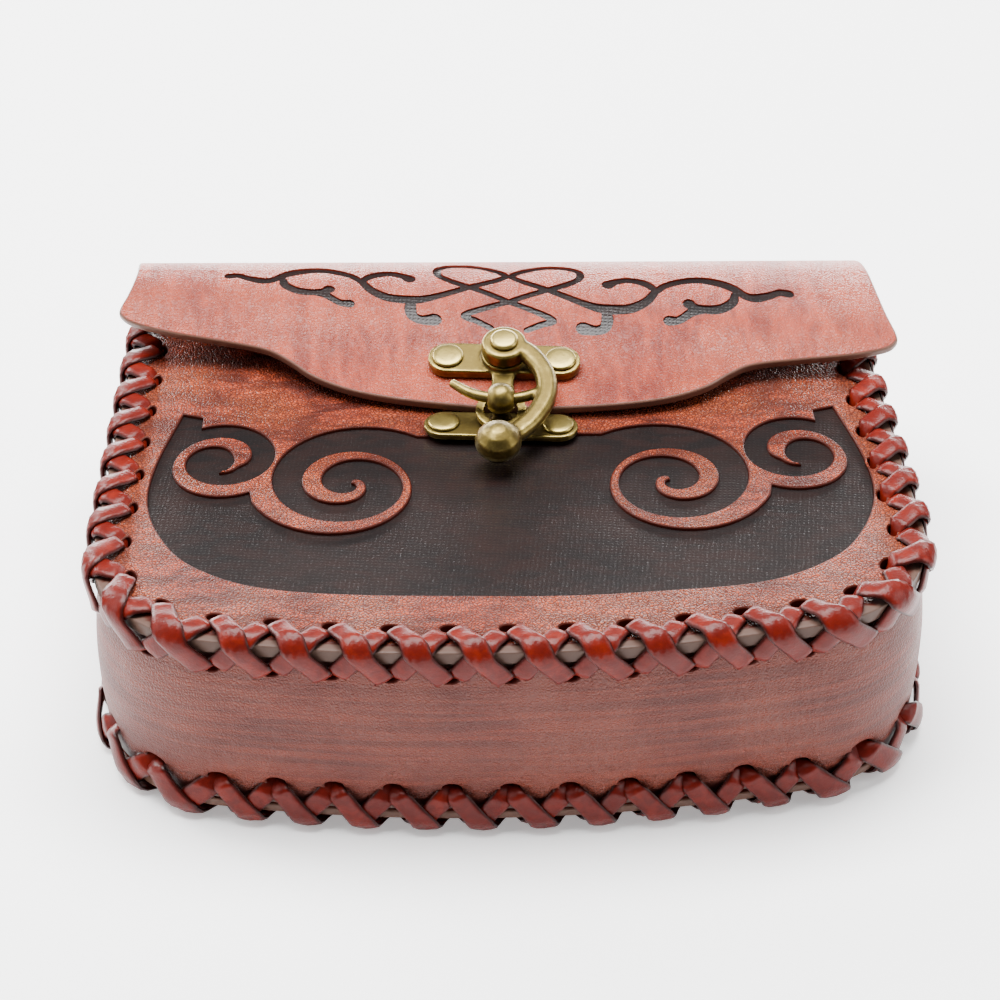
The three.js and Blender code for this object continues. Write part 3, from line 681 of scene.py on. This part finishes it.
# %% Clasp measures and frame
CLASP_FROM_TIP, CLASP_SHIFT, CLASP_CENTRE, POST_CENTRE = 12.9, -1.1, -0.2, -1
PLATE_LENGTH, PLATE_WIDTH, UPPER_THICK, LOWER_THICK = 34, 9, 2.4, 1.6
BOSS_RISE, RIVET_SPACING, RIVET_RADIUS, RIVET_RISE = 1.4, 25, 3.5, 0.8
ARM_WIDTH, ARM_THICK, ARM_EYE, ARM_BOW, HANDLE_REACH = 4.8, 3.4, 5, 9.8, 29.1
PIVOT_RADIUS, PIVOT_HEAD, PIVOT_RISE = 1.3, 3.1, 0.9
PRONG_REACH, PRONG_THICK, PRONG_TIP = 16, 2.5, 44
RING_WIDTH, RING_THICK, RING_LIFT, NECK_WIDTH = 1.9, 1.5, 1.1, 3.2
POST_BALL, POST_NECK, KNOB_RADIUS = 3.4, 1.9, 5.1
FLAT_BULGE, VOXEL, WEAR_GAIN, WEAR_ROUNDS = 1.3, 0.26, 3.2, 6
PLATE_SIZE = (PLATE_LENGTH - 0.2, PLATE_WIDTH - 0.2)
EYE_LOW = UPPER_THICK + BOSS_RISE + CLEARANCE
EYE_HIGH = EYE_LOW + ARM_THICK
ARM_MIDDLE = (EYE_LOW + EYE_HIGH) / 2


def clasp_frame():
    """The frame of the arm's joint, with x along the slant of the flap."""
    joint = frame["joints"][0]
    normal = Vector(joint["axis"]).normalized()
    along = 1 - CLASP_FROM_TIP / FLAP_LENGTH
    slant = flap_point(CLASP_SHIFT + 1, along) - flap_point(CLASP_SHIFT, along)
    ahead = normal.cross(slant).normalized()
    turn = Matrix((ahead.cross(normal), ahead, normal)).transposed().to_4x4()
    return Matrix.Translation(Vector(joint["pos_m"]) / MM) @ turn


FLAP_FRAME = clasp_frame()
post = FLAP_FRAME @ Vector((0, -PRONG_REACH, ARM_MIDDLE))
POST_FRAME = Matrix.Translation((post.x, post.y, PANEL_TOP + CLEARANCE))
POST_FRAME @= Matrix.Rotation(math.atan2(FLAP_FRAME[1][0], FLAP_FRAME[0][0]), 4, "Z")
POST_HEIGHT = post.z - PANEL_TOP - CLEARANCE


def spun(profile, sides=48):
    """A turned solid from (radius, height) pairs."""
    bm = bmesh.new()
    verts = [bm.verts.new((radius, 0, height)) for radius, height in profile]
    edges = [bm.edges.new(pair) for pair in zip(verts, verts[1:])]
    bmesh.ops.spin(bm, geom=verts + edges, cent=(0, 0, 0), axis=(0, 0, 1), angle=2 * math.pi,
                   steps=sides, use_merge=True)
    bmesh.ops.remove_doubles(bm, verts=bm.verts, dist=1e-4)
    bmesh.ops.recalc_face_normals(bm, faces=bm.faces)
    return bm


def disc(radius, low, high, at=(0, 0)):
    return move(spun([(0, low), (radius, low), (radius, high), (0, high)]), *at, 0)


def stadium(length, width, low, high, middle=0):
    """A plate with round ends."""
    reach = (length - width) / 2
    loop = []
    for end, first in ((reach, -90), (-reach, 90)):
        for step in range(17):
            turn = math.radians(first + 180 * step / 16)
            x, y = width / 2 * math.cos(turn), width / 2 * math.sin(turn)
            loop.append((end + x, middle + y, low))
    bm = bmesh.new()
    extrude(bm, [bm.faces.new([bm.verts.new(place) for place in loop])], high - low)
    bmesh.ops.recalc_face_normals(bm, faces=bm.faces)
    return bm


def rod(points, radii, flatness=1):
    """A round bar along points, with its radius at each. Flatness under 1 presses it flatter."""
    line = curve_through([(*point, radius) for point, radius in zip(points, radii)], 6)
    curve = bpy.data.curves.new("rod", "CURVE")
    curve.dimensions = "3D"
    curve.bevel_depth = 1
    curve.bevel_resolution = 4
    curve.use_fill_caps = True
    spline = curve.splines.new("POLY")
    spline.points.add(len(line) - 1)
    for point, row in zip(spline.points, line):
        point.co = (row[0], row[1], row[2], 1)
        point.radius = row[3]
    bm = to_bmesh(add_object("rod", curve))
    bmesh.ops.remove_doubles(bm, verts=bm.verts, dist=1e-4)
    if flatness < 1:
        middle, half = points[0][2], radii[0] * flatness
        for vert in bm.verts:
            lift = (vert.co.z - middle) * (FLAT_BULGE * flatness)
            vert.co.z = middle + max(min(lift, half), -half)
    return bm


def add_remesh(body):
    remesh = body.modifiers.new("remesh", "REMESH")
    remesh.mode = "VOXEL"
    remesh.voxel_size = VOXEL


def cast(solids, holes):
    """Joins solids, cuts holes, remeshes finely and softens: one casting."""
    whole = bmesh.new()
    for solid in solids:
        join(whole, solid)
    body = to_object(whole, "casting")
    add_remesh(body)
    tools = [to_object(hole, "hole") for hole in holes]
    for tool in tools:
        cutter = body.modifiers.new("cut", "BOOLEAN")
        cutter.object = tool
        cutter.operation = "DIFFERENCE"
    add_remesh(body)
    rounder = body.modifiers.new("soften", "SMOOTH")
    rounder.factor = 0.5
    rounder.iterations = 4
    bm = to_bmesh(body)
    for tool in tools:
        bpy.data.objects.remove(tool)
    return bm


def mark_wear(bm):
    """Attribute wear: above half on proud places of a casting, below half in its recesses."""
    layer = bm.verts.layers.float.new("wear")
    bm.normal_update()
    values = {}
    for vert in bm.verts:
        ring = [edge.other_vert(vert).co for edge in vert.link_edges]
        centre = sum(ring, Vector()) / len(ring)
        size = max((centre - co).length for co in ring)
        values[vert] = (vert.co - centre).dot(vert.normal) / size
    for _ in range(WEAR_ROUNDS):
        spread = {}
        for vert in bm.verts:
            around = sum(values[edge.other_vert(vert)] for edge in vert.link_edges)
            spread[vert] = (values[vert] + around) / (1 + len(vert.link_edges))
        values = spread
    for vert in bm.verts:
        vert[layer] = min(max(0.5 + WEAR_GAIN * values[vert], 0), 1)


def placed(bm, name, matrix):
    """A piece of the clasp, worn and set in its place."""
    mark_wear(bm)
    bmesh.ops.transform(bm, matrix=Matrix.Scale(MM, 4) @ matrix, verts=bm.verts)
    return finished(bm, name, sharp=50)


# %% [markdown]
# The pieces of the clasp, each in the frame it stands in: the upper ones on the flap, the lower
# plate on the front panel.

# %% Clasp pieces
ring_hole = POST_BALL + CLEARANCE
neck_start = CLASP_CENTRE - PLATE_WIDTH / 2 + 1.5
neck_end = -PRONG_REACH + ring_hole + RING_WIDTH / 2
waist = (neck_start + neck_end) / 2
neck = rod([(0, neck_start, 0), (0, waist, 0), (0, neck_end, 0)],
           [NECK_WIDTH, NECK_WIDTH * 0.78, NECK_WIDTH])
for vert in neck.verts:
    vert.co.z = RING_LIFT + RING_THICK * (0.5 + 0.5 * max(min(vert.co.z / NECK_WIDTH * 2, 1), -1))
solids = [
    stadium(*PLATE_SIZE, 0.05, UPPER_THICK, CLASP_CENTRE),
    disc(ARM_EYE, 1, UPPER_THICK + BOSS_RISE - 0.1),
    disc(ring_hole + RING_WIDTH, RING_LIFT, RING_LIFT + RING_THICK, (0, -PRONG_REACH)),
    neck,
]
holes = [disc(PIVOT_RADIUS + CLEARANCE, -1, 6), disc(ring_hole, -1, 4, (0, -PRONG_REACH))]
upper_plate = placed(cast(solids, holes), "clasp_upper_plate", FLAP_FRAME)

rivet_profile = [(0, 0), (RIVET_RADIUS - 0.1, 0), (RIVET_RADIUS, 0.15), (RIVET_RADIUS - 0.05, 0.4),
                 (RIVET_RADIUS - 0.5, 0.66), (RIVET_RADIUS - 1.6, 0.77), (0, RIVET_RISE)]
rivets = {}
for level, matrix, thick, middle in (("upper", FLAP_FRAME, UPPER_THICK, CLASP_CENTRE),
                                     ("lower", POST_FRAME, LOWER_THICK, POST_CENTRE)):
    for side, sign in (("left", -0.5), ("right", 0.5)):
        seat = Matrix.Translation((sign * RIVET_SPACING, middle, thick + CLEARANCE / 2))
        node = f"{level}_rivet_{side}"
        rivets[node] = placed(spun(rivet_profile), f"clasp_{node}", matrix @ seat)

head = EYE_HIGH + CLEARANCE
pivot_profile = [(0, CLEARANCE), (PIVOT_RADIUS, CLEARANCE), (PIVOT_RADIUS, head),
                 (PIVOT_HEAD, head), (PIVOT_HEAD, head + 0.35), (PIVOT_HEAD - 0.3, head + 0.7),
                 (PIVOT_HEAD - 0.9, head + PIVOT_RISE), (0, head + PIVOT_RISE)]
pivot = placed(spun(pivot_profile), "clasp_pivot", FLAP_FRAME)

ARM_LINE = [(0, 0), (0.5, 0.05), (0.92, 0.26), (1, 0.5), (0.72, 0.75), (0.25, 0.94), (0, 1)]
KNOB = [(0, 0.36), (0.5, 0.36), (0.95, 0.95), (1, 1.2), (0.9, 1.58), (0.62, 1.88), (0.3, 2.04),
        (0, 2.08)]
PRONG_TURNS = (-PRONG_TIP, -PRONG_TIP / 2, 0, 16, 32)
PRONG_RADII = [PRONG_THICK / 2 * 0.8] + [PRONG_THICK / 2] * 4


def prong_point(degrees):
    """A point of the prong, which is an arc about the pivot."""
    turn = math.radians(degrees)
    return (PRONG_REACH * math.sin(turn), -PRONG_REACH * math.cos(turn), ARM_MIDDLE)


arm = [(bow * ARM_BOW, -reach * HANDLE_REACH, ARM_MIDDLE) for bow, reach in ARM_LINE]
knob = spun([(radius * KNOB_RADIUS, height * KNOB_RADIUS) for radius, height in KNOB])
move(knob, 0, -HANDLE_REACH, 0)
solids = [
    spun([(0, EYE_LOW), (ARM_EYE, EYE_LOW), (ARM_EYE, EYE_HIGH - 0.5), (ARM_EYE - 0.5, EYE_HIGH),
          (0, EYE_HIGH)]),
    rod(arm, [ARM_WIDTH / 2] * len(arm), ARM_THICK / ARM_WIDTH),
    rod([prong_point(turn) for turn in PRONG_TURNS], PRONG_RADII),
    knob,
]
bore = disc(PIVOT_RADIUS + CLEARANCE, 0, 9)
swing_arm = placed(cast(solids, [bore]), "clasp_arm", FLAP_FRAME)

ball = bmesh.new()
bmesh.ops.create_uvsphere(ball, u_segments=32, v_segments=20, radius=POST_BALL + 0.15)
move(ball, 0, 0, POST_HEIGHT)
tunnel = disc(PRONG_THICK / 2 + POST_BALL ** 2 / (2 * PRONG_REACH) + CLEARANCE, -7, 7)
bmesh.ops.rotate(tunnel, verts=tunnel.verts, cent=(0, 0, 0),
                 matrix=Matrix.Rotation(math.pi / 2, 3, "Y"))
move(tunnel, 0, 0.2, POST_HEIGHT)
neck = spun([(0, 0.6), (POST_NECK + 1.2, 0.6), (POST_NECK + 1, LOWER_THICK + 0.3),
             (POST_NECK, LOWER_THICK + 1.4), (POST_NECK, POST_HEIGHT), (0, POST_HEIGHT)])
solids = [stadium(*PLATE_SIZE, 0.05, LOWER_THICK, POST_CENTRE), neck, ball]
lower_plate = placed(cast(solids, [tunnel]), "clasp_lower_plate", POST_FRAME)

# %% [markdown]
# Two plain belt loops on the back, which the photograph hides. Straps of plain leather, bent
# round their edges and held by flat rivets.

# %% Belt loops
STRAP_THICK, CORNER_REACH, TAB_END, TAB_START, LOOP_HALF = 2, 3, 38, 26, 18


def rounded_path(corners):
    """The path with each inner corner replaced by a short curve."""
    rows = [corners[0]]
    for a, b, c in zip(corners, corners[1:], corners[2:]):
        a, b, c = Vector(a), Vector(b), Vector(c)
        start, stop = (b + (far - b).normalized() * CORNER_REACH for far in (a, c))
        for step in range(7):
            t = step / 6
            rows.append(tuple(start * (1 - t) ** 2 + b * 2 * t * (1 - t) + stop * t ** 2))
    return rows + [corners[-1]]


loops = {}
for side in ("left", "right"):
    low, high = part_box(f"belt_loop_{side}")
    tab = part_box(f"loop_rivet_{side}_low")[1].z / MM + CLEARANCE
    x0, x1, y0, y1 = low.x / MM, high.x / MM, low.y / MM, high.y / MM
    middle = (y0 + y1) / 2
    rows = rounded_path([(middle + reach, level) for reach, level in (
        (-TAB_END, tab), (-TAB_START, tab), (-LOOP_HALF, 0), (LOOP_HALF, 0), (TAB_START, tab),
        (TAB_END, tab))])
    strap = cut_flat("belt_loop", rectangle(x0, y0, x1, y1), [], STRAP_THICK, 0.4)
    mark_edges(strap, STRAP_THICK)
    slice_up(strap, y=0.8)
    bend(strap, lambda place: Vector((place.x, place.y, look_up(rows, place.y)
                                      + STRAP_THICK / 2 + place.z)))
    loops[f"belt_loop_{side}"] = finished(strap, f"belt_loop_{side}_strap")
    for end in ("low", "high"):
        low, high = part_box(f"loop_rivet_{side}_{end}")
        centre = (low + high) / 2 / MM
        seat = Matrix.Translation((centre.x, centre.y, high.z / MM))
        seat @= Matrix.Rotation(math.pi, 4, "X")
        rivet = placed(spun(rivet_profile), f"loop_{side}_{end}", seat)
        loops[f"loop_rivet_{side}_{end}"] = rivet

# %% [markdown]
# Finishes. Effects that several leathers share are groups that give heights and masks: the
# pebbled grain with its creases, and the streaks left by dyeing and burnishing.

# %% Node tools and shared groups
def new_group(name, inputs, outputs):
    tree = bpy.data.node_groups.new(name, "ShaderNodeTree")
    for label, kind in inputs:
        tree.interface.new_socket(label, in_out="INPUT", socket_type=kind)
    for label in outputs:
        tree.interface.new_socket(label, in_out="OUTPUT", socket_type="NodeSocketFloat")
    return tree, tree.nodes.new("NodeGroupInput"), tree.nodes.new("NodeGroupOutput")


def set_inputs(tree, node, **inputs):
    """Sets inputs, by label or as n and a number, to constants or other nodes' outputs."""
    for label, value in inputs.items():
        numbered = label[0] == "n" and label[1:].isdigit()
        socket = node.inputs[int(label[1:]) if numbered else label.replace("_", " ")]
        if isinstance(value, bpy.types.NodeSocket):
            tree.links.new(value, socket)
        else:
            socket.default_value = value


def add_node(tree, kind, settings=None, **inputs):
    made = tree.nodes.new(kind)
    for key, value in (settings or {}).items():
        setattr(made, key, value)
    set_inputs(tree, made, **inputs)
    return made


def texture(tree, place, scale, detail, **inputs):
    """Noise at a place. The scale is per metre."""
    made = add_node(tree, "ShaderNodeTexNoise", None, Vector=place, Scale=scale, Detail=detail,
                    **inputs)
    return made.outputs[0]


def maths(tree, operation, a, b):
    return add_node(tree, "ShaderNodeMath", {"operation": operation}, n0=a, n1=b).outputs[0]


def times(tree, a, b):
    return maths(tree, "MULTIPLY", a, b)


def ramp(tree, factor, low, high, out_low=0.0, out_high=1.0):
    """Maps low..high of a value to out_low..out_high, smoothly."""
    made = add_node(tree, "ShaderNodeMapRange", {"interpolation_type": "SMOOTHSTEP"}, Value=factor,
                    From_Min=low, From_Max=high, To_Min=out_low, To_Max=out_high)
    return made.outputs[0]


def mix(tree, factor, a, b):
    """A colour from a to b."""
    made = add_node(tree, "ShaderNodeMix", {"data_type": "RGBA"}, n0=factor, n6=a, n7=b)
    return made.outputs[2]


def colour(*channels):
    """An sRGB colour, 0 to 255, as linear light."""
    linear = [((c / 255 + 0.055) / 1.055) ** 2.4 if c > 10 else c / 255 / 12.92 for c in channels]
    return (*linear, 1)


grain_group, gi, go = new_group("leather_grain", [("Vector", "NodeSocketVector")],
                                ["Height", "Crease"])
warp = add_node(grain_group, "ShaderNodeTexNoise", None, Vector=gi.outputs[0], Scale=500.0,
                Detail=2.0)
bent = add_node(grain_group, "ShaderNodeVectorMath", {"operation": "MULTIPLY_ADD"},
                n0=warp.outputs["Color"], n1=(0.0009, 0.0009, 0.0009), n2=gi.outputs[0])
cells = add_node(grain_group, "ShaderNodeTexVoronoi", {"feature": "DISTANCE_TO_EDGE"},
                 Vector=bent.outputs[0], Scale=1350.0).outputs[0]
pores = texture(grain_group, gi.outputs[0], 1500.0, 4.0)
pebble = ramp(grain_group, cells, 0.0, 0.3)
height = maths(grain_group, "ADD", pebble, times(grain_group, pores, 0.6))
set_inputs(grain_group, go, Height=height, Crease=ramp(grain_group, cells, 0.02, 0.2, 1.0, 0.0))

streak_group, gi, go = new_group(
    "burnish_streaks", [("Vector", "NodeSocketVector"), ("Stretch", "NodeSocketVector")],
    ["Streak", "Cloud"])
pulled = add_node(streak_group, "ShaderNodeVectorMath", {"operation": "MULTIPLY"},
                  n0=gi.outputs[0], n1=gi.outputs[1])
fibres = texture(streak_group, pulled.outputs[0], 1.0, 6.0, Roughness=0.62, Distortion=0.6)
clouds = texture(streak_group, gi.outputs[0], 42.0, 4.0)
set_inputs(streak_group, go, Streak=ramp(streak_group, fibres, 0.38, 0.66),
           Cloud=ramp(streak_group, clouds, 0.35, 0.65))
print("groups:", [group.name for group in bpy.data.node_groups])


def use_group(tree, group, **inputs):
    return add_node(tree, "ShaderNodeGroup", {"node_tree": group}, **inputs)


def new_material(name):
    made = bpy.data.materials.new(name)
    made.use_nodes = True
    return made, made.node_tree, made.node_tree.nodes["Principled BSDF"]


def object_place(tree):
    return tree.nodes.new("ShaderNodeTexCoord").outputs["Object"]


def attribute(tree, name):
    return add_node(tree, "ShaderNodeAttribute", {"attribute_name": name}).outputs["Fac"]


def bump(tree, shader, height, distance):
    made = add_node(tree, "ShaderNodeBump", None, Height=height, Distance=distance, Strength=1.0)
    set_inputs(tree, shader, Normal=made.outputs[0])


def leather_material(name, base, dark, light, stretch, rough, grain, edge, gloss, crease,
                     cloud=0.5):
    """Dyed leather: streaks and clouds of dye, a pebbled grain and darker burnished edges."""
    made, tree, shader = new_material(name)
    place = object_place(tree)
    streaks = use_group(tree, streak_group, Vector=place, Stretch=stretch)
    grain_node = use_group(tree, grain_group, Vector=place)
    tone = mix(tree, streaks.outputs["Streak"], dark, base)
    tone = mix(tree, times(tree, streaks.outputs["Cloud"], cloud), tone, light)
    tone = mix(tree, times(tree, grain_node.outputs["Crease"], crease), tone, dark)
    rim = attribute(tree, "edge")
    tone = mix(tree, ramp(tree, rim, 0.1, 0.45), tone, dark)
    tone = mix(tree, ramp(tree, rim, 0.6, 0.95), tone, edge)
    roughness = ramp(tree, streaks.outputs["Cloud"], 0, 1, rough + 0.07, rough - 0.05)
    set_inputs(tree, shader, Base_Color=tone, Roughness=roughness, Specular_IOR_Level=gloss)
    face = ramp(tree, rim, 0.1, 0.5, 1.0, 0.0)
    bump(tree, shader, times(tree, grain_node.outputs["Height"], face), grain)
    return made


# %% [markdown]
# The materials. The main leather is a reddish cognac, more purple and satin on the gusset. The
# dark leather has a fine woven-looking print. The lace is glossy, and darker at its edges.

# %% Leather and lace materials
pouch_leather = leather_material(
    "pouch_leather", colour(142, 56, 32), colour(60, 20, 12), colour(152, 76, 46), (90, 260, 90),
    rough=0.38, grain=0.0002, edge=colour(80, 60, 52), gloss=0.14, crease=0.9)
flap_leather = leather_material(
    "flap_leather", colour(148, 58, 36), colour(100, 32, 20), colour(162, 74, 48), (260, 70, 70),
    rough=0.38, grain=0.00009, edge=colour(96, 66, 54), gloss=0.25, crease=0.35)
gusset_leather = leather_material(
    "gusset_leather", colour(106, 46, 34), colour(76, 34, 28), colour(124, 56, 36), (26, 26, 700),
    rough=0.4, grain=0.0001, edge=colour(80, 60, 52), gloss=0.25, crease=0.4, cloud=0.35)

dark_leather, tree, shader = new_material("dark_leather")
place = object_place(tree)
weave = []
for turn in (0.12, 1.69):
    turned = add_node(tree, "ShaderNodeVectorRotate", {"rotation_type": "Z_AXIS"}, Vector=place,
                      Angle=turn)
    wave = add_node(tree, "ShaderNodeTexWave", {"bands_direction": "X"}, Vector=turned.outputs[0],
                    Scale=330.0, Distortion=2.6, Detail=2.0, Detail_Scale=1.4)
    weave.append(wave.outputs["Fac"])
print_height = times(tree, weave[0], weave[1])
grain_node = use_group(tree, grain_group, Vector=place)
height = maths(tree, "ADD", print_height, times(tree, grain_node.outputs["Height"], 0.35))
streaks = use_group(tree, streak_group, Vector=place, Stretch=(120, 300, 100))
tone = mix(tree, streaks.outputs["Cloud"], colour(14, 10, 10), colour(22, 15, 14))
tone = mix(tree, times(tree, streaks.outputs["Streak"], 0.3), tone, colour(38, 19, 15))
set_inputs(tree, shader, Base_Color=tone, Roughness=0.3, Specular_IOR_Level=0.24)
bump(tree, shader, height, 0.000032)

lace_material, tree, shader = new_material("lace")
place = object_place(tree)
streaks = use_group(tree, streak_group, Vector=place, Stretch=(300, 300, 300))
tone = mix(tree, attribute(tree, "tint"), colour(98, 20, 11), colour(126, 31, 15))
tone = mix(tree, times(tree, streaks.outputs["Streak"], 0.45), colour(78, 15, 9), tone)
rim = ramp(tree, attribute(tree, "across"), 0.72, 1.0)
tone = mix(tree, times(tree, rim, 0.85), tone, colour(22, 7, 6))
set_inputs(tree, shader, Base_Color=tone, Roughness=0.3, Specular_IOR_Level=0.16)
bump(tree, shader, texture(tree, place, 1800.0, 3.0), 0.00008)
print("materials:", [m.name for m in bpy.data.materials])

# %% [markdown]
# Antique brass: yellow where hands polish it, olive and then dark brown in the recesses. The
# wear attribute of each casting says which is which.

# %% Brass and plain materials
brass, tree, shader = new_material("antique_brass")
place = object_place(tree)
patches = maths(tree, "SUBTRACT", texture(tree, place, 420.0, 5.0, Roughness=0.65), 0.5)
wear = maths(tree, "ADD", attribute(tree, "wear"), times(tree, patches, 0.5))
tone = mix(tree, ramp(tree, wear, 0.2, 0.5), colour(38, 28, 15), colour(92, 78, 40))
tone = mix(tree, ramp(tree, wear, 0.5, 0.85), tone, colour(154, 136, 76))
set_inputs(tree, shader, Base_Color=tone, Metallic=1.0,
           Roughness=ramp(tree, wear, 0.2, 0.8, 0.5, 0.34))
bump(tree, shader, texture(tree, place, 1400.0, 3.0), 0.000025)

floor_material, tree, shader = new_material("paper")
set_inputs(tree, shader, Base_Color=(0.96, 0.96, 0.96, 1), Roughness=0.9, Specular_IOR_Level=0.1,
           Emission_Color=(1, 1, 1, 1), Emission_Strength=0.4)
print("materials:", len(bpy.data.materials))

# %% [markdown]
# Each piece gets its material and the body it moves with, and the plain piece it replaces is
# hidden.

# %% Materials and bodies of the pieces
pieces = [
    (front_panel, "front_panel", "pouch_leather", pouch_leather),
    (front_field, "front_inlay", "dark_leather", dark_leather),
    (gusset, "gusset", "gusset_leather", gusset_leather),
    (back_and_flap, "back_and_flap", "pouch_leather", flap_leather),
    (flap_field, None, "dark_leather", dark_leather),
    (lacing_front, "lacing_front", "lace", lace_material),
    (lacing_back, "lacing_back", "lace", lace_material),
]
clasp = {"upper_plate": upper_plate, "lower_plate": lower_plate, "pivot_rivet": pivot,
         "swing_arm": swing_arm, **rivets}
pieces += [(obj, node, "antique_brass", brass) for node, obj in clasp.items()]
for node, obj in loops.items():
    finish = ("antique_brass", brass) if "rivet" in node else ("strap_leather", gusset_leather)
    pieces.append((obj, node, *finish))
for obj, node, slot, material in pieces:
    obj.data.materials.clear()
    obj.data.materials.append(material)
    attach(obj, "swing_arm" if node == "swing_arm" else "pouch")
    if node:
        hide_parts(node)
print("pieces:", len(pieces))

# %% [markdown]
# A pale floor, a large soft light overhead and behind for the sheen on the fold, and the camera
# at the photograph's angle.

# %% Floor, lights and camera
LIGHT_AIM = Vector((0, 0, 0.03))
SKY_STRENGTH = 0.18
CAMERA_PLACE = (-0.020, -0.5997, 0.4782)
CAMERA_YAW, CAMERA_PITCH, CAMERA_ROLL = (math.radians(angle) for angle in (1.81, 36.39, -0.38))
CAMERA_LENS, CAMERA_SENSOR = 122.4, 36

bm = bmesh.new()
bmesh.ops.create_grid(bm, x_segments=1, y_segments=1, size=3)
floor = to_object(bm, "floor")
floor.data.materials.append(floor_material)


def soft_light(name, place, size, power):
    light = bpy.data.lights.new(name, "AREA")
    light.shape = "RECTANGLE"
    light.size, light.size_y = size
    light.energy = power
    obj = add_object(name, light)
    obj.location = place
    obj.rotation_euler = (LIGHT_AIM - Vector(place)).to_track_quat("-Z", "Y").to_euler()


soft_light("overhead", (-0.05, 0.16, 1.1), (1.1, 0.6), 58)
soft_light("backdrop", (0, 1.3, 0.2), (2.4, 0.3), 72)
soft_light("left_back", (-1.05, 0.75, 0.72), (0.5, 0.5), 22)
soft_light("right_back", (1.0, 0.9, 0.62), (0.4, 0.4), 5)
soft_light("left", (-1.1, -0.1, 0.6), (0.5, 0.8), 6)
soft_light("right", (1.1, -0.2, 0.6), (0.5, 0.8), 8)
world = bpy.data.worlds.new("studio")
world.use_nodes = True
set_inputs(world.node_tree, world.node_tree.nodes["Background"], Color=(1, 1, 1, 1),
           Strength=SKY_STRENGTH)
bpy.context.scene.world = world

level = math.cos(CAMERA_PITCH)
forward = Vector((math.sin(CAMERA_YAW) * level, math.cos(CAMERA_YAW) * level,
                  -math.sin(CAMERA_PITCH)))
flat_right = forward.cross(Vector((0, 0, 1))).normalized()
flat_up = flat_right.cross(forward)
right = flat_right * math.cos(CAMERA_ROLL) + flat_up * math.sin(CAMERA_ROLL)
up = flat_up * math.cos(CAMERA_ROLL) - flat_right * math.sin(CAMERA_ROLL)
camera = add_object("camera", bpy.data.cameras.new("camera"))
camera.data.sensor_width = CAMERA_SENSOR
camera.data.lens = CAMERA_LENS
turn = Matrix((right, up, -forward)).transposed().to_4x4()
camera.matrix_world = Matrix.Translation(CAMERA_PLACE) @ turn
bpy.context.scene.camera = camera
print("lights:", len(bpy.data.lights), "camera at", CAMERA_PLACE)
